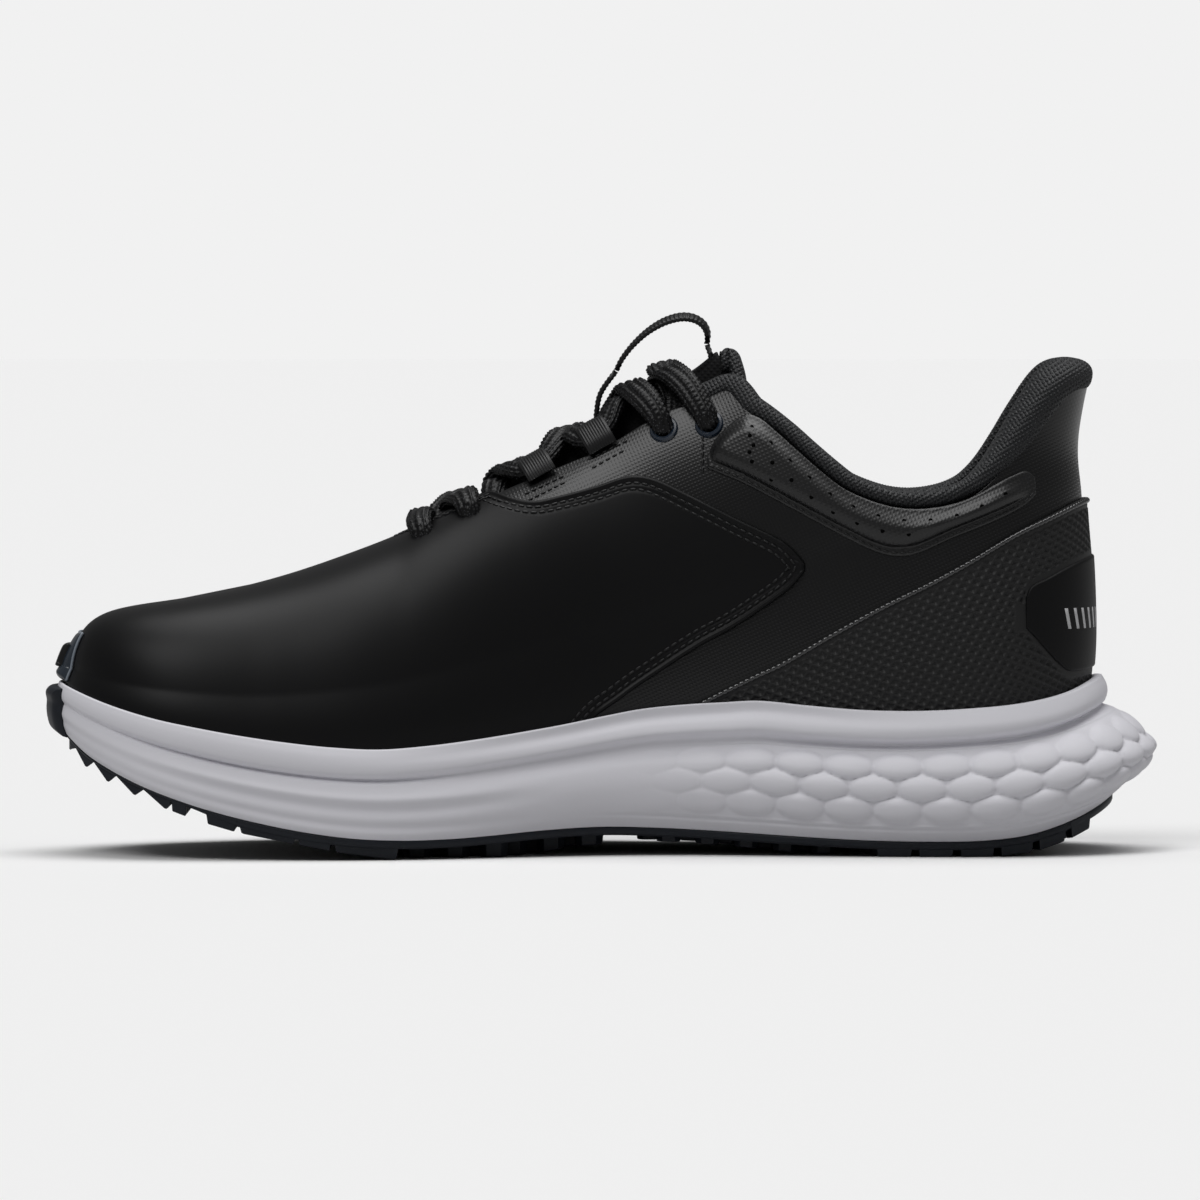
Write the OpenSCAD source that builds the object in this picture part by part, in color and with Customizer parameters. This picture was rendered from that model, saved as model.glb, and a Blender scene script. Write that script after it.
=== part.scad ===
// Spikeless golf shoe, right foot: moulded rubber outsole, foam midsole, layered upper,
// padded tongue and collar, lace, eyelets and a pull loop on the tongue.
// Toe at -X, heel at +X, medial side at -Y, ground at z = 0. Millimetres.

/* [Size] */
// Overall length, toe bumper to heel flare
shoe_len = 282; // [268:1:296]
// Width of the sole across the ball of the foot
sole_w = 105; // [99:1:111]
// Height of the heel tab above the ground
heel_h = 124; // [118:1:130]

/* [Upper] */
// Thickness of the quarters
quarter_t = 1.15; // [1.0:0.05:1.6]
// Thickness of the vamp and the other overlays
overlay_t = 1.1; // [0.8:0.1:1.3]
// Thickness of the lining
lining_t = 1; // [0.7:0.1:1.2]
// Thickness of the toe puff and the heel counter
stiffener_t = 0.9; // [0.6:0.1:1.0]
// How far the collar padding stands into the shoe
collar_pad = 6; // [4:0.5:7]

/* [Sole] */
// Thickness of the outsole's base sheet
sheet_t = 2; // [1.6:0.1:2.4]
// Thickness of the sockliner
sockliner_t = 4.5; // [3.5:0.5:5.5]
// Thickness of the strobel board
board_t = 1.6; // [1.2:0.1:2.0]

/* [Lacing] */
// Width of the flat-oval lace
lace_w = 6; // [5:0.5:7]
// Thickness of the lace
lace_t = 3; // [2.5:0.1:3.4]
// Radius of the opening in each eyelet
eyelet_r = 2.2; // [2.0:0.1:2.4]
// Width of the pull loop's tape
tape_w = 4; // [3:0.5:5]

/* [Hidden] */

// Scale from the drawn shoe (282 long, 105 wide, heel tab at 124) to the one asked for.
kx = shoe_len / 282;
ky = sole_w / 105;
kz = heel_h / 124;

gap = 0.12;             // room between glued layers, so that curved faces don't touch
toe_x = -135.2;         // toe tip of the feather line
heel_x = 124.6;         // heel end of the feather line
toe_round_x = -90;      // the outline starts to close towards the toe here
heel_round_x = 92;      // and towards the heel here
throat_x = -52;         // front of the throat opening
collar_x = 29;          // where the throat ends and the collar begins

// Curves of the last: [x, value].
width_pts = [[-136, 33], [-118, 37], [-100, 40.5], [-80, 44.5], [-60, 46.2], [-40, 44], [-20, 38.2],
    [0, 32.8], [20, 30.6], [40, 31], [62, 32.2], [85, 32.8], [105, 32], [125, 31]];
centre_pts = [[-136, -13], [-112, -10], [-85, -5], [-60, -1.5], [-30, 1.8], [0, 3.4], [30, 2.6], [60, 0.8],
    [95, 0], [125, 0]];
board_pts = [[-136, 38], [-120, 31], [-104, 26.4], [-85, 22.4], [-60, 20.2], [-35, 20.8], [0, 24.4],
    [30, 27.2], [60, 28.2], [95, 28.4], [125, 31]];
ridge_pts = [[-142, 60.4], [-130, 61.6], [-118, 62.8], [-106, 64.3], [-94, 66.6], [-80, 70.3], [-66, 75],
    [-52, 80.4], [-46, 83.6], [-33, 90.8], [-17, 100.6], [0, 111.4], [14, 120.6], [28, 126.5], [42, 136],
    [60, 151], [80, 168], [100, 181], [112, 185], [142, 185]];
side_pow_pts = [[-136, 9], [-130, 6.6], [-118, 4.4], [-100, 3.3], [-60, 2.6], [0, 2.25], [125, 2.3]];
top_pow_pts = [[-136, 3], [-118, 2.5], [-100, 2.2], [-60, 2.05], [-17, 2.05], [0, 2.2], [14, 2.4], [28, 2.65],
    [60, 2.5], [125, 2.4]];
heel_back_pts = [[28, 123.4], [40, 124.4], [52, 125.3], [62, 125.3], [74, 124.8], [84, 124], [92, 123.4],
    [100, 122.6], [106, 122.8], [113, 123.9], [120, 125.3], [132, 127]];
throat_pts = [[-52, 0], [-50.5, 3.4], [-47, 6], [-40, 8.6], [-25, 12], [-10, 14.4], [0, 15.2], [14, 15],
    [28, 15.4], [40, 16]];
collar_pts = [[24, 118.6], [31, 116.6], [39, 111.6], [45, 106.8], [50, 102.2], [56, 97], [61, 93.2], [67, 90.4],
    [73, 88.6], [79, 88], [85, 88.6], [90, 90], [95, 92.6], [100, 97], [106, 104], [112, 111.4], [117, 116.6],
    [121, 119.4], [126, 120.4]];
rim_pts = [[-138, 44.6], [-124, 39], [-112, 35.3], [-101, 32.9], [-90, 30.9], [-79, 29.3], [-68, 28.1],
    [-56, 27.5], [-44, 28.3], [-33, 29.6], [-22, 31.2], [-11, 33], [0, 35.1], [10, 36.9], [21, 38], [31, 38.6],
    [40, 39], [52, 37.9], [66, 36.8], [80, 36.6], [94, 37.3], [106, 38.6], [117, 41.2], [127, 45.8]];
ground_pts = [[-141, 34], [-136, 30.8], [-129, 25.4], [-118, 19.6], [-107, 15.3], [-96, 11.9], [-84, 9],
    [-73, 6.9], [-62, 5.5], [-50, 4.9], [-38, 5.1], [-28, 5.7], [-14, 6.8], [0, 7.4], [15, 7], [32, 6.1],
    [50, 5], [66, 4.2], [80, 3.9], [95, 4.1], [106, 5.2], [114, 7.2], [122, 10.2], [130, 14.6], [142, 24]];
groove_pts = [[-138, 0.31], [-90, 0.33], [-50, 0.3], [0, 0.26], [60, 0.23], [127, 0.2]];

lining_throat_pts = [[-62, 0], [-60, 9], [-54, 17], [-46, 21.5], [-33, 22.5], [-17, 21], [0, 21.5], [15, 24],
    [28, 25.5], [40, 25]];
vamp_low_pts = [[-8, 20], [-4.7, 31], [5, 39.5], [15, 46.4], [25.1, 52.9], [32.6, 57], [40.1, 61.9],
    [47.6, 67.5], [51.4, 72]];
vamp_high_pts = [[-30, 92.6], [-24, 90.6], [-17, 89.6], [-10.9, 90.8], [-1.2, 93.4], [5.3, 95.6], [9.2, 96],
    [13.8, 95], [21.5, 91.4], [34.6, 84.9], [45.5, 79.6], [49.1, 76.5], [51.4, 73.6]];
panel_low_pts = [[26, 98], [30, 96.4], [36.3, 93.7], [47.6, 87.7], [58.8, 81.7], [67, 77.6], [73, 75.7],
    [78.9, 76.1], [88.6, 80.2], [99.9, 84.7], [107.4, 88.5], [111.6, 92.6]];
panel_high_pts = [[26, 99.6], [29, 105.4], [36, 111.2], [40, 110.4], [44, 107.2], [50, 101.8], [56, 96.6],
    [61, 92.8], [67, 90], [73, 88.2], [79, 87.6], [85, 88.1], [90, 89.3], [95, 91.4], [99, 93.6], [104, 96],
    [108, 97], [111.6, 94]];
overlay_pts = [[23, 37.6], [29.1, 40.8], [38.8, 45.6], [45.4, 48.7], [57.2, 55.6], [70, 62.7], [82.7, 69],
    [92.4, 74.3], [103.7, 81], [113.3, 85.5], [122.3, 89.4], [126, 89.8]];
patch_low_pts = [[106.2, 58], [108.5, 55.8], [112, 51.8], [115.4, 48.2], [118.4, 46.2], [126, 47]];
patch_high_pts = [[106.2, 62], [107.2, 66], [108.4, 68], [112, 69.8], [118, 72.8], [126, 76]];

// How far the midsole stands out of the feather line: one row for each [x, offsets],
// one offset for each level. Levels 0 to 4 lie on the rim, 5 is the groove under it,
// and the rest lie on the foam wall down to the ground.
rim_levels = [0, 0.3, 0.6, 0.85, 1];
wall_levels = [0.05, 0.14, 0.3, 0.5, 0.7, 0.87, 1];
stand_out = [
    [-136, [2.4, 2.8, 3.0, 2.9, 2.6, 2.4, 2.6, 2.8, 2.6, 2.2, 1.6, 0.6]],
    [-112, [3.4, 4.0, 4.3, 4.2, 3.5, 3.1, 3.8, 4.5, 4.9, 5.0, 4.8, 4.0]],
    [-60, [3.4, 4.4, 5.0, 5.0, 4.3, 4.0, 4.8, 5.7, 6.2, 6.3, 6.2, 5.6]],
    [-10, [3.2, 3.2, 4.4, 4.8, 4.0, 3.3, 3.9, 5.6, 6.3, 5.9, 4.8, 3.2]],
    [20, [3.2, 3.0, 4.6, 5.2, 4.2, 3.1, 3.5, 5.6, 6.6, 6.0, 4.4, 2.4]],
    [50, [3.2, 3.5, 5.0, 5.4, 4.4, 3.1, 4.1, 6.4, 7.6, 7.2, 5.8, 3.8]],
    [85, [3.3, 4.5, 5.6, 5.6, 4.8, 3.3, 4.9, 7.6, 9.2, 9.2, 7.6, 5.0]],
    [112, [3.3, 4.5, 5.4, 5.4, 4.6, 3.6, 6.0, 9.6, 12.0, 12.0, 9.2, 5.6]],
    [125, [3.0, 4.0, 4.4, 4.2, 3.9, 3.9, 8.2, 12.2, 15.8, 13.8, 9.4, 5.7]]
];

// Rows of the lacing: [x, distance from the centreline].
// Rows 1, 2, 5 and 6 are holes, rows 3 and 4 keepers.
lace_rows = [[-45.5, 16.8], [-33.5, 17.3], [-17, 10.1], [-2, 11.2], [15.5, 18.2], [27, 20]];

// The lace's route from the middle of its lowest bar to the top eyelet, as rows of
// [x, y, height over the last, width, how much lower the strand that passes under the other one lies].
// One strand follows it as it stands, the other one is its mirror image and passes under it.
strand = [
    [-45.5, 1, 1.8, 5, 0], [-45.5, -9, 1.8, 5, 0], [-45.5, -14.4, 1.6, 4.4, 0], [-45.5, -16.8, -0.4, 4, 0],
    [-45.3, -16.8, -2.8, 4, 0], [-44.8, -13.4, -4.5, 4.6, 0], [-43.2, -7, -3.6, 5, 0], [-41.4, -3, -0.4, 5, -1],
    [-39.5, 0, 0.9, 5, -3.3], [-37.3, 5, 1.5, 5, -1], [-34.4, 11.4, 1.9, 5, 0], [-33.6, 15.4, 1.6, 4.4, 0],
    [-33.5, 17.3, -0.4, 4, 0], [-33.3, 17.2, -2.8, 4, 0], [-32.4, 14.4, -4.6, 4.6, 0], [-29.6, 8.4, -4, 5, 0],
    [-27, 3.4, -0.6, 5, -0.8], [-24.8, 0, 0.9, 5, -3.3], [-22, -6, 0.6, 5, -0.1], [-19.6, -9.4, -0.4, 5, 0],
    [-16.8, -10.2, -0.6, 5, 0], [-14.2, -8.8, -0.4, 5, 0], [-11.6, -4.4, 0.6, 5, -0.9], [-9.6, 0, 0.9, 5, -3.3],
    [-7, 6.4, 0.4, 5, -0.2], [-4.6, 10.5, -0.4, 5, 0], [-1.8, 11.3, -0.6, 5, 0], [0.8, 9.9, -0.4, 5, 0],
    [3.8, 5.4, 0.6, 5, -0.1], [6.6, 0, 1.4, 5, -3.3], [8.8, -6.6, 2, 5, -0.6], [11.8, -12.6, 1.9, 5, 0],
    [14.4, -16.5, 0.8, 4.2, 0], [15.5, -18.2, -1.2, 3.8, 0], [15.6, -18.2, -3.4, 3.8, 0],
    [17.2, -15.6, -4.9, 4.6, 0], [17.4, -10, -4.3, 5, 0], [16.2, -4.4, -1.2, 5, -2], [15, 0, 1.2, 5, -3.3],
    [17.2, 6.4, 1.9, 5, -1], [21.6, 13, 1.8, 5, 0], [25.6, 18.2, 0.7, 4.2, 0], [27, 20, -1.2, 3.8, 0],
    [27.1, 20, -4, 3.8, 0]
];

// The free ends of the lace, tucked into the shoe: medial end; the lateral end mirrors it.
end_route = [[27.9, -16, 106], [28.4, -16.8, 101.5], [29.4, -18.4, 95], [30.8, -19.5, 88], [33, -20.7, 79],
    [36.6, -22, 67], [42, -22.6, 54], [49, -22, 44], [58, -20.8, 38.6], [70, -20, 37.8], [81, -18.4, 37.8],
    [88.6, -13.6, 38], [88, -8, 38], [80, -5.8, 37.8], [68, -5.4, 37.6], [54, -5.4, 37.2], [40, -5.6, 36.4],
    [25, -5.8, 34.8], [12, -6.4, 33.2], [4, -7.4, 32.4]];
aglet_len = 18;
aglet_r = 1.5;

loop_y = 1;             // the pull loop stands just beside the shoe's middle
loop_path = [[3.9, 122.4], [5.2, 125], [7.8, 128.4], [11.4, 131.8], [15.6, 134.4], [19.8, 135.7], [23.2, 135.5],
    [25.8, 134], [27, 131.6], [26.9, 129.2]];
loop_front = [[-1.4, 106.4], [-1.3, 111], [-0.2, 116.4], [3.3, 121.5]];
loop_rear = [[28, 124.7], [27.7, 126.4], [27.1, 128.2]];

// ---- numbers -------------------------------------------------------------------------------------------

function clamp(x, a, b) = min(max(x, a), b);
function smooth(t) = let (c = clamp(t, 0, 1)) c * c * (3 - 2 * c);
function mix(a, b, t) = a + (b - a) * t;
function unit(v) = v / norm(v);

function segment(p, x, i = 0) = (i >= len(p) - 2 || x < p[i + 1][0]) ? i : segment(p, x, i + 1);
function slope(p, i) =
    let (a = max(i - 1, 0), b = min(i + 1, len(p) - 1)) (p[b][1] - p[a][1]) / (p[b][0] - p[a][0]);

// A smooth curve through the points p, at x. The value may be a number or a list of numbers.
function curve(p, x) =
    let (
        c = clamp(x, p[0][0], p[len(p) - 1][0]),
        i = segment(p, c),
        w = p[i + 1][0] - p[i][0],
        t = (c - p[i][0]) / w
    )
    p[i][1] * (2 * t ^ 3 - 3 * t ^ 2 + 1) + p[i + 1][1] * (3 * t ^ 2 - 2 * t ^ 3)
    + slope(p, i) * w * (t ^ 3 - 2 * t ^ 2 + t) + slope(p, i + 1) * w * (t ^ 3 - t ^ 2);

// x held between a and b, with rounded ends of radius r.
function soft_clamp(x, a, b, r) =
    x < a - r ? a :
    x < a + r ? a + (x - a + r) ^ 2 / (4 * r) :
    x > b + r ? b :
    x > b - r ? b - (b + r - x) ^ 2 / (4 * r) : x;

// ---- the last ------------------------------------------------------------------------------------------

function closing(x) =
    let (
        t = x < toe_round_x ? (toe_round_x - x) / (toe_round_x - toe_x) :
            x > heel_round_x ? (x - heel_round_x) / (heel_x - heel_round_x) : 0,
        e = x < toe_round_x ? 2.4 : 2.25
    )
    max(0, 1 - clamp(t, 0, 1) ^ e) ^ (1 / e);
function half_width(x) = curve(width_pts, x) * closing(x);

// q runs round the feather line: 0 at the toe tip, -1 to 0 on the medial side, 0 to 1 on the lateral side.
function wrap(q) = q > 1 ? q - 2 : q < -1 ? q + 2 : q;
function side_of(q) = wrap(q) < 0 ? -1 : 1;
function x_of(q) = toe_x + (heel_x - toe_x) * (1 - cos(180 * abs(wrap(q)))) / 2;
function q_of(x) = acos(1 - 2 * (x - toe_x) / (heel_x - toe_x)) / 180;
function feather(q) = let (x = x_of(q)) [x, curve(centre_pts, x) + side_of(q) * half_width(x)];
function spine_x(x) = soft_clamp(x, -88, 88, 20);

// How far a section reaches from the spine at the share h of its height, as a share of its width.
function reach(x, h) =
    let (
        dome = max(0, 1 - clamp(h, 0, 1) ^ curve(top_pow_pts, x)) ^ (1 / curve(side_pow_pts, x)),
        full = dome * (1 + 0.025 * sin(180 * clamp(h / 0.4, 0, 1))),
        z = mix(curve(board_pts, x), curve(ridge_pts, x), h),
        back = (curve(heel_back_pts, z) - spine_x(heel_x)) / (heel_x - spine_x(heel_x))
    )
    mix(full, back, smooth((x - 98) / (heel_x - 98)));

// A point of the last's surface: share h of the height, at q round the outline. Not yet scaled.
function last_point(q, h) =
    let (
        c = feather(q),
        s = [spine_x(c[0]), curve(centre_pts, spine_x(c[0]))],
        p = s + (c - s) * reach(c[0], h)
    )
    [p[0], p[1], mix(curve(board_pts, c[0]), curve(ridge_pts, p[0]), h)];
function last_normal(q, h) =
    h > 0.995 ? [0, 0, 1] :
    let (
        e = 0.004,
        a = last_point(q + e, clamp(h, e, 1 - e)) - last_point(q - e, clamp(h, e, 1 - e)),
        b = last_point(q, clamp(h, e, 1 - 2 * e) + e) - last_point(q, clamp(h, 2 * e, 1) - e)
    )
    unit(cross(b, a));
function on_last(q, h, off) =
    let (p = last_point(q, h) + last_normal(q, h) * off) [p[0] * kx, p[1] * ky, p[2] * kz];

// The share of height at which the surface is z high.
function share_at(q, z, h = 0.5, n = 5) =
    n == 0 ? clamp(h, 0, 1) :
    let (x = last_point(q, h)[0], b = curve(board_pts, x_of(q)))
    share_at(q, z, (z - b) / (curve(ridge_pts, x) - b), n - 1);
function share_at_y(x, y) =
    let (f = clamp(abs(y) / half_width(x), 0, 1))
    max(0, 1 - f ^ curve(side_pow_pts, x)) ^ (1 / curve(top_pow_pts, x));

// The same for a height that is a curve over x, such as the collar line.
function share_on(q, pts, h = 0.5, n = 6) =
    n == 0 ? clamp(h, 0, 1) :
    let (x = last_point(q, h)[0], b = curve(board_pts, x_of(q)))
    share_on(q, pts, (curve(pts, x) - b) / (curve(ridge_pts, x) - b), n - 1);

// The upper's top edge: the ridge over the toes, then the throat's edge, then the collar line.
function top_edge(q) =
    let (x = x_of(q))
    x <= throat_x ? 1 : x < collar_x ? share_at_y(x, curve(throat_pts, x)) :
    mix(share_at_y(x, curve(throat_pts, x)), share_on(q, collar_pts), smooth((x - collar_x) / 8));

// A point over the throat: x along the shoe, y from the centreline, off along the surface's normal.
function over(x, y, off) = on_last((y < 0 ? -1 : 1) * q_of(x), share_at_y(x, y), off);
function over_normal(x, y) = last_normal((y < 0 ? -1 : 1) * q_of(x), share_at_y(x, y));

// ---- solids from grids ---------------------------------------------------------------------------------

function quad(a, b, c, d) = [[a, b, c], [a, c, d]];
function flat(l) = [for (a = l, b = a) b];
function sheet_faces(r, c, base, closed, turn) = flat([
    for (i = [0:r - 2], j = [0:c - (closed ? 1 : 2)])
        let (k = (j + 1) % c, a = base + i * c + j, b = base + i * c + k)
        turn ? quad(a, a + c, b + c, b) : quad(a, b, b + c, a + c)
]);

// Faces without the ones that have two corners in one place.
function apart(p, f) = norm(p[f[0]] - p[f[1]]) > 1e-5 && norm(p[f[1]] - p[f[2]]) > 1e-5
    && norm(p[f[2]] - p[f[0]]) > 1e-5;
module solid(p, faces) {
    polyhedron(points = p, faces = [for (f = faces) if (apart(p, f)) f], convexity = 8);
}

// A shell between two grids of the same size, closed along its edges. joined[j] is true where the
// grid's top edge meets its own mirror image, so no edge face is needed there.
module shell(outer, inner, closed = false, joined = []) {
    r = len(outer);
    c = len(outer[0]);
    n = r * c;
    last = closed ? c - 1 : c - 2;
    t = (r - 1) * c;
    low = flat([for (j = [0:last]) let (k = (j + 1) % c) quad(j, n + j, n + k, k)]);
    high = flat([
        for (j = [0:last])
            let (k = (j + 1) % c)
            if (!(len(joined) > 0 && joined[j] && joined[k])) quad(t + j, t + k, n + t + k, n + t + j)
    ]);
    ends = closed ? [] : flat([
        for (i = [0:r - 2])
            concat(
                quad(i * c, (i + 1) * c, n + (i + 1) * c, n + i * c),
                quad((i + 1) * c - 1, n + (i + 1) * c - 1, n + (i + 2) * c - 1, (i + 2) * c - 1)
            )
    ]);
    solid(
        concat(flat(outer), flat(inner)),
        concat(sheet_faces(r, c, 0, closed, false), sheet_faces(r, c, n, closed, true), low, high, ends)
    );
}

// A solid from closed loops, each with an even number of points that run from the toe along one side
// and back along the other. Both ends are closed with strips that join the two sides.
module stack(loops) {
    r = len(loops);
    c = len(loops[0]);
    half = c / 2;
    cap = flat([
        for (j = [0:half - 1])
            let (m = (c - j) % c)
            j == 0 ? [[0, 1, c - 1]] : j == half - 1 ? [[j, half, half + 1]] : quad(j, j + 1, m - 1, m)
    ]);
    top = [for (f = cap) [for (v = [2, 1, 0]) (r - 1) * c + f[v]]];
    solid(flat(loops), concat(sheet_faces(r, c, 0, true, true), cap, top));
}

// A tube through rings, each with the same number of points.
module tube(rings) {
    r = len(rings);
    c = len(rings[0]);
    front = [for (j = [1:c - 2]) [0, j + 1, j]];
    back = [for (j = [1:c - 2]) [(r - 1) * c, (r - 1) * c + j, (r - 1) * c + j + 1]];
    solid(flat(rings), concat(sheet_faces(r, c, 0, true, false), front, back));
}

// Rings of an oval along a path. The width starts along the direction first and is carried along the path.
function path_dir(p, i) = unit(p[min(i + 1, len(p) - 1)] - p[max(i - 1, 0)]);
function square_to(a, d) = unit(a - d * (a * d));
function oval_rings(p, w, t, first, sides = 8) = [
    for (i = 0, a = square_to(first, path_dir(p, 0));
        i < len(p);
        i = i + 1, a = square_to(a, path_dir(p, min(i, len(p) - 1))))
        let (d = path_dir(p, i), b = cross(a, d))
        [for (k = [0:sides - 1]) p[i] + a * cos(360 * k / sides) * w[i] / 2 + b * sin(360 * k / sides) * t / 2]
];

// A smooth path through points, with n steps between each two.
function spline_point(p, i, t) =
    let (a = p[max(i - 1, 0)], b = p[i], c = p[i + 1], d = p[min(i + 2, len(p) - 1)])
    0.5 * (2 * b + (c - a) * t + (2 * a - 5 * b + 4 * c - d) * t ^ 2 + (3 * b - 3 * c + d - a) * t ^ 3);
function spline(p, n) =
    concat([for (i = [0:len(p) - 2], k = [0:n - 1]) spline_point(p, i, k / n)], [p[len(p) - 1]]);

// ---- parts of the upper --------------------------------------------------------------------------------

function steps(a, b, n) = [for (i = [0:n]) mix(a, b, i / n)];

// A panel on the last between two offsets: columns qs, with the share of height
// going from low(q) to high(q).
function panel(qs, lows, highs, rows, off) = [
    for (i = [0:rows]) [for (j = [0:len(qs) - 1]) on_last(qs[j], mix(lows[j], highs[j], i / rows), off)]
];
module layer(qs, lows, highs, rows, out, in, closed = false) {
    shell(
        panel(qs, lows, highs, rows, out), panel(qs, lows, highs, rows, in),
        closed, [for (h = highs) h > 0.9999]
    );
}

// ---- offsets of the upper's layers from the last, outwards positive ------------------------------------

in_overlay = -overlay_t;
out_quarter = in_overlay - 0.75;
in_quarter = out_quarter - quarter_t;
out_inner = in_quarter - 0.3;           // toe puff, heel counter and collar foam start here

N = 36;                                 // columns on each side
function grid(a, b) = [for (i = [ceil(a * N + 0.3):floor(b * N - 0.3)]) i / N];
function columns(a, b) = concat([a], grid(a, b), [b]);

// The padding's depth at the collar and its front end.
function pad(q, h) =
    let (x = x_of(q), t = top_edge(q), z = last_point(q, h)[2], top = last_point(q, t)[2])
    collar_pad * smooth((z - top + 28) / 14) * smooth((x - 32) / 14);
function lining_out(q, h) = out_inner - (stiffener_t + 0.3) * smooth((x_of(q) - 20) / 30) - pad(q, h);

function above_board(q) = let (x = x_of(q), b = curve(board_pts, x)) 0.6 / (curve(ridge_pts, x) - b);
function lining_top(q) =
    let (x = x_of(q))
    x <= -62 ? 1 : x < 30 ? share_at_y(x, curve(lining_throat_pts, x)) :
    mix(share_at_y(x, curve(lining_throat_pts, x)), share_on(q, collar_pts), smooth((x - 30) / 10));

// ---- parts of the sole -----------------------------------------------------------------------------------

function out_dir(q) =
    let (d = unit(feather(q + 0.004) - feather(q - 0.004))) [-d[1], d[0]];
function sole_point(q, level, extra) =
    let (
        c = feather(q),
        row = curve(stand_out, c[0]),
        n = out_dir(q),
        p = c + n * (row[level] + extra),
        low = c + n * row[11],
        rim = curve(rim_pts, c[0]),
        ground = curve(ground_pts, low[0]),
        groove = rim - (rim - ground) * curve(groove_pts, c[0]),
        z = level < 5 ? mix(rim, groove, rim_levels[level]) : mix(groove, ground, wall_levels[level - 5])
    )
    [p[0] * kx, p[1] * ky, z * kz];
// q round the whole outline, starting at the toe tip, along the lateral side and back.
ring_q = [for (j = [0:2 * N - 1]) j <= N ? j / N : j / N - 2];
function cup_point(q, z, off) = on_last(q, (z - curve(board_pts, x_of(q)))
    / (curve(ridge_pts, last_point(q, 0.1)[0]) - curve(board_pts, x_of(q))), off);
function cup_ring(drop, off) = [for (q = ring_q) cup_point(q, curve(board_pts, x_of(q)) + drop, off)];

module midsole() {
    floor = -board_t - 0.7;
    inner = [
        cup_ring(floor, 0.3),
        [for (q = ring_q) cup_point(q, (curve(board_pts, x_of(q)) + curve(rim_pts, x_of(q))) / 2 - 1, 0.3)],
        [for (q = ring_q) cup_point(q, curve(rim_pts, x_of(q)), 0.3)]
    ];
    outer = [for (level = [0:11]) [for (q = ring_q) sole_point(q, level, 0)]];
    stack(concat(inner, outer));
}

module plan(extra) {
    polygon([for (q = ring_q) let (p = sole_point(q, 11, extra)) [p[0], p[1]]]);
}

// The outsole's top follows the midsole's bottom. lug(x) is how deep the tread reaches below its sheet.
outsole_xs = concat([for (i = [1:N - 1]) x_of(i / N)], [130.5]);
function sheet_top(x) = curve(ground_pts, x) - 0.3;
function sheet_low(x) = sheet_top(x) - sheet_t;
lug_depth_pts = [[-136, 0.8], [-110, 1.6], [-80, 2.4], [-55, 2.6], [0, 2.8], [60, 2.6], [110, 2.6], [131, 1]];
function lug_depth(x) = curve(lug_depth_pts, x);
module band(xs, low) {
    rotate([90, 0, 0]) linear_extrude(height = 160, center = true)
        scale([kx, kz]) polygon(concat(
            [for (x = xs) [x, sheet_top(x)]],
            [for (i = [len(xs) - 1:-1:0]) [xs[i], low(xs[i])]]
        ));
}
function lug_low(x) =
    x < -60 ? sheet_low(x) - lug_depth(x) :
    x < -16 ? 0 :
    x < 46 ? 2.2 :
    x < 98 ? 0 :
    max(0, sheet_low(x) - lug_depth(x));
module outsole() {
    intersection() {
        band(outsole_xs, function(x) sheet_low(x));
        linear_extrude(height = 60) plan(0.3);
    }
    intersection() {
        band(outsole_xs, function(x) lug_low(x));
        linear_extrude(height = 60) intersection() {
            plan(-0.6);
            lugs();
        }
    }
}
// The tread: chevron bars across the ball and the heel, hexagonal studs between them.
module lugs() {
    for (i = [0:7]) translate([(-128 + i * 9.4) * kx, curve(centre_pts, -128 + i * 9.4) * ky])
        for (s = [-1, 1]) scale([1, s]) translate([0, 2]) rotate(-14) square([4.6, 60]);
    for (i = [0:4]) translate([(-44 + i * 10) * kx, curve(centre_pts, -44 + i * 10) * ky])
        for (j = [-3:3]) translate([j % 2 == 0 ? 0 : 5, j * 11.4]) circle(r = 3.6, $fn = 6);
    for (i = [0:5]) translate([(62 + i * 10.6) * kx, 0])
        for (s = [-1, 1]) scale([1, s]) translate([0, 2]) rotate(12) square([5.2, 60]);
    for (i = [0:3]) translate([(14 + i * 12) * kx, 2 * ky])
        for (j = [-1:1]) translate([0, j * 17]) circle(r = 3.4, $fn = 6);
}

module toe_bumper() {
    qs = steps(-0.055, 0.055, 10);
    shell(
        [for (level = [11:-1:1]) [for (q = qs) sole_point(q, level, 0.9 + 1.6 * smooth((0.057 - abs(q)) / 0.025))]],
        [for (level = [11:-1:1]) [for (q = qs) sole_point(q, level, 0.3)]]
    );
}

module strobel_board() {
    stack([
        cup_ring(-0.3, -0.6),
        cup_ring(-board_t - 0.3, -0.6)
    ]);
}
module sockliner() {
    stack([
        cup_ring(sockliner_t, -6.8),
        cup_ring(sockliner_t - 0.8, -5.7),
        cup_ring(0.3, -5.6)
    ]);
}

// ---- parts of the upper ------------------------------------------------------------------------------------

module holes(rows, r) {
    for (row = rows, s = [-1, 1])
        let (p = over(row[0], s * row[1], 0), n = over_normal(row[0], s * row[1]))
            translate(p) rotate([0, acos(n[2]), atan2(n[1], n[0])])
                cylinder(r = r, h = 14, center = true, $fn = 20);
}

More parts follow.
